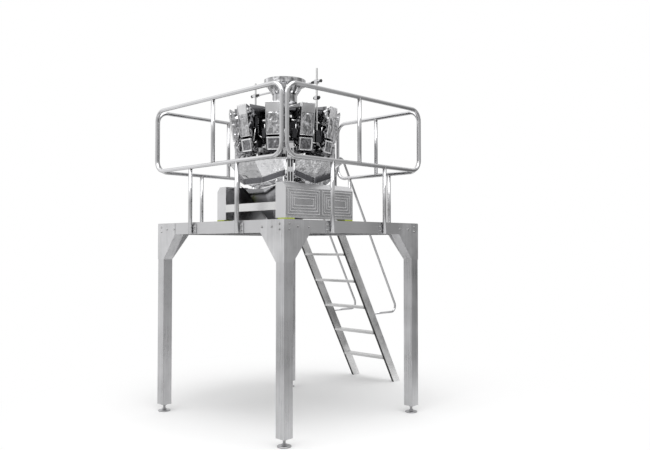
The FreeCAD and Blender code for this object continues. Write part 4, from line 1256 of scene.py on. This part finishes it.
def backdrop_seen(tree, direction):
    """The studio's colour in a direction, and the mask of the rays that see it: eye, mirror and glass."""
    path = add_node(tree, "LightPath")
    tone = add_node(tree, "Group", {"Direction": direction, "Reflected": path["Is Glossy Ray"]},
                    node_tree=surround)["Colour"]
    eye_or_mirror = math_step(tree, "MAXIMUM", path["Is Camera Ray"], path["Is Glossy Ray"])
    return tone, math_step(tree, "MAXIMUM", eye_or_mirror, path["Is Transmission Ray"])


def show(tree, output, share, first, second):
    """Ends a tree with a first shader, and a second one by a share."""
    blend = add_node(tree, "MixShader", {"Fac": share, 1: first, 2: second})[0]
    add_node(tree, output, {"Surface": blend})


floor_tone = 0.93
fade_start = 1.2
fade_end = 3.4


def floor_material():
    """Pale paint near the machine, fading smoothly to the plain backdrop beyond it."""
    material, tree, _ = new_material("pale floor")
    tree.nodes.clear()
    place = add_node(tree, "TexCoord")["Object"]
    distance = add_node(tree, "VectorMath", {0: place}, operation="LENGTH")["Value"]
    fade = add_node(tree, "MapRange", {"Value": distance, "From Min": fade_start, "From Max": fade_end},
                    interpolation_type="SMOOTHSTEP")["Result"]
    tone, seen = backdrop_seen(tree, add_node(tree, "VectorMath", {0: place}, operation="NORMALIZE")[0])
    paint = add_node(tree, "BsdfDiffuse", {"Color": (floor_tone, floor_tone, floor_tone, 1.0)})[0]
    glow = add_node(tree, "Emission", {"Color": tone})[0]
    show(tree, "OutputMaterial", math_step(tree, "MULTIPLY", fade, seen), paint, glow)
    return material


floor_mesh = bpy.data.meshes.new("floor")
floor_reach = 40.0
floor_mesh.from_pydata([(-floor_reach, -floor_reach, 0), (floor_reach, -floor_reach, 0),
                        (floor_reach, floor_reach, 0), (-floor_reach, floor_reach, 0)], [], [(0, 1, 2, 3)])
floor_mesh.materials.append(floor_material())
floor = bpy.data.objects.new("floor", floor_mesh)
scene.collection.objects.link(floor)

world = bpy.data.worlds.new("studio")
scene.world = world
world.use_nodes = True
tree = world.node_tree
tree.nodes.clear()
room_tone = 0.78
room = add_node(tree, "Background", {"Color": (room_tone, room_tone, room_tone, 1.0)})[0]
tone, seen = backdrop_seen(tree, add_node(tree, "TexCoord")["Generated"])
backdrop = add_node(tree, "Background", {"Color": tone})[0]
show(tree, "OutputWorld", seen, room, backdrop)

lamp_size = 6.0
aim_height = 2.0


def soft_lamp(name, place, power):
    """A square area lamp that faces the middle of the machine."""
    data = bpy.data.lights.new(name, "AREA")
    data.size = lamp_size
    data.energy = power
    lamp = bpy.data.objects.new(name, data)
    aim = np.array((platform_centre[0], 0.0, aim_height)) - np.array(place)
    lamp.location = place
    lamp.rotation_euler = (math.atan2(math.hypot(aim[0], aim[1]), -aim[2]), 0.0,
                           math.atan2(aim[1], aim[0]) - math.pi / 2)
    scene.collection.objects.link(lamp)


soft_lamp("key lamp", place=(-1.4, -2.6, 8.5), power=300.0)
soft_lamp("fill lamp", place=(-5.0, 0.5, 7.5), power=140.0)
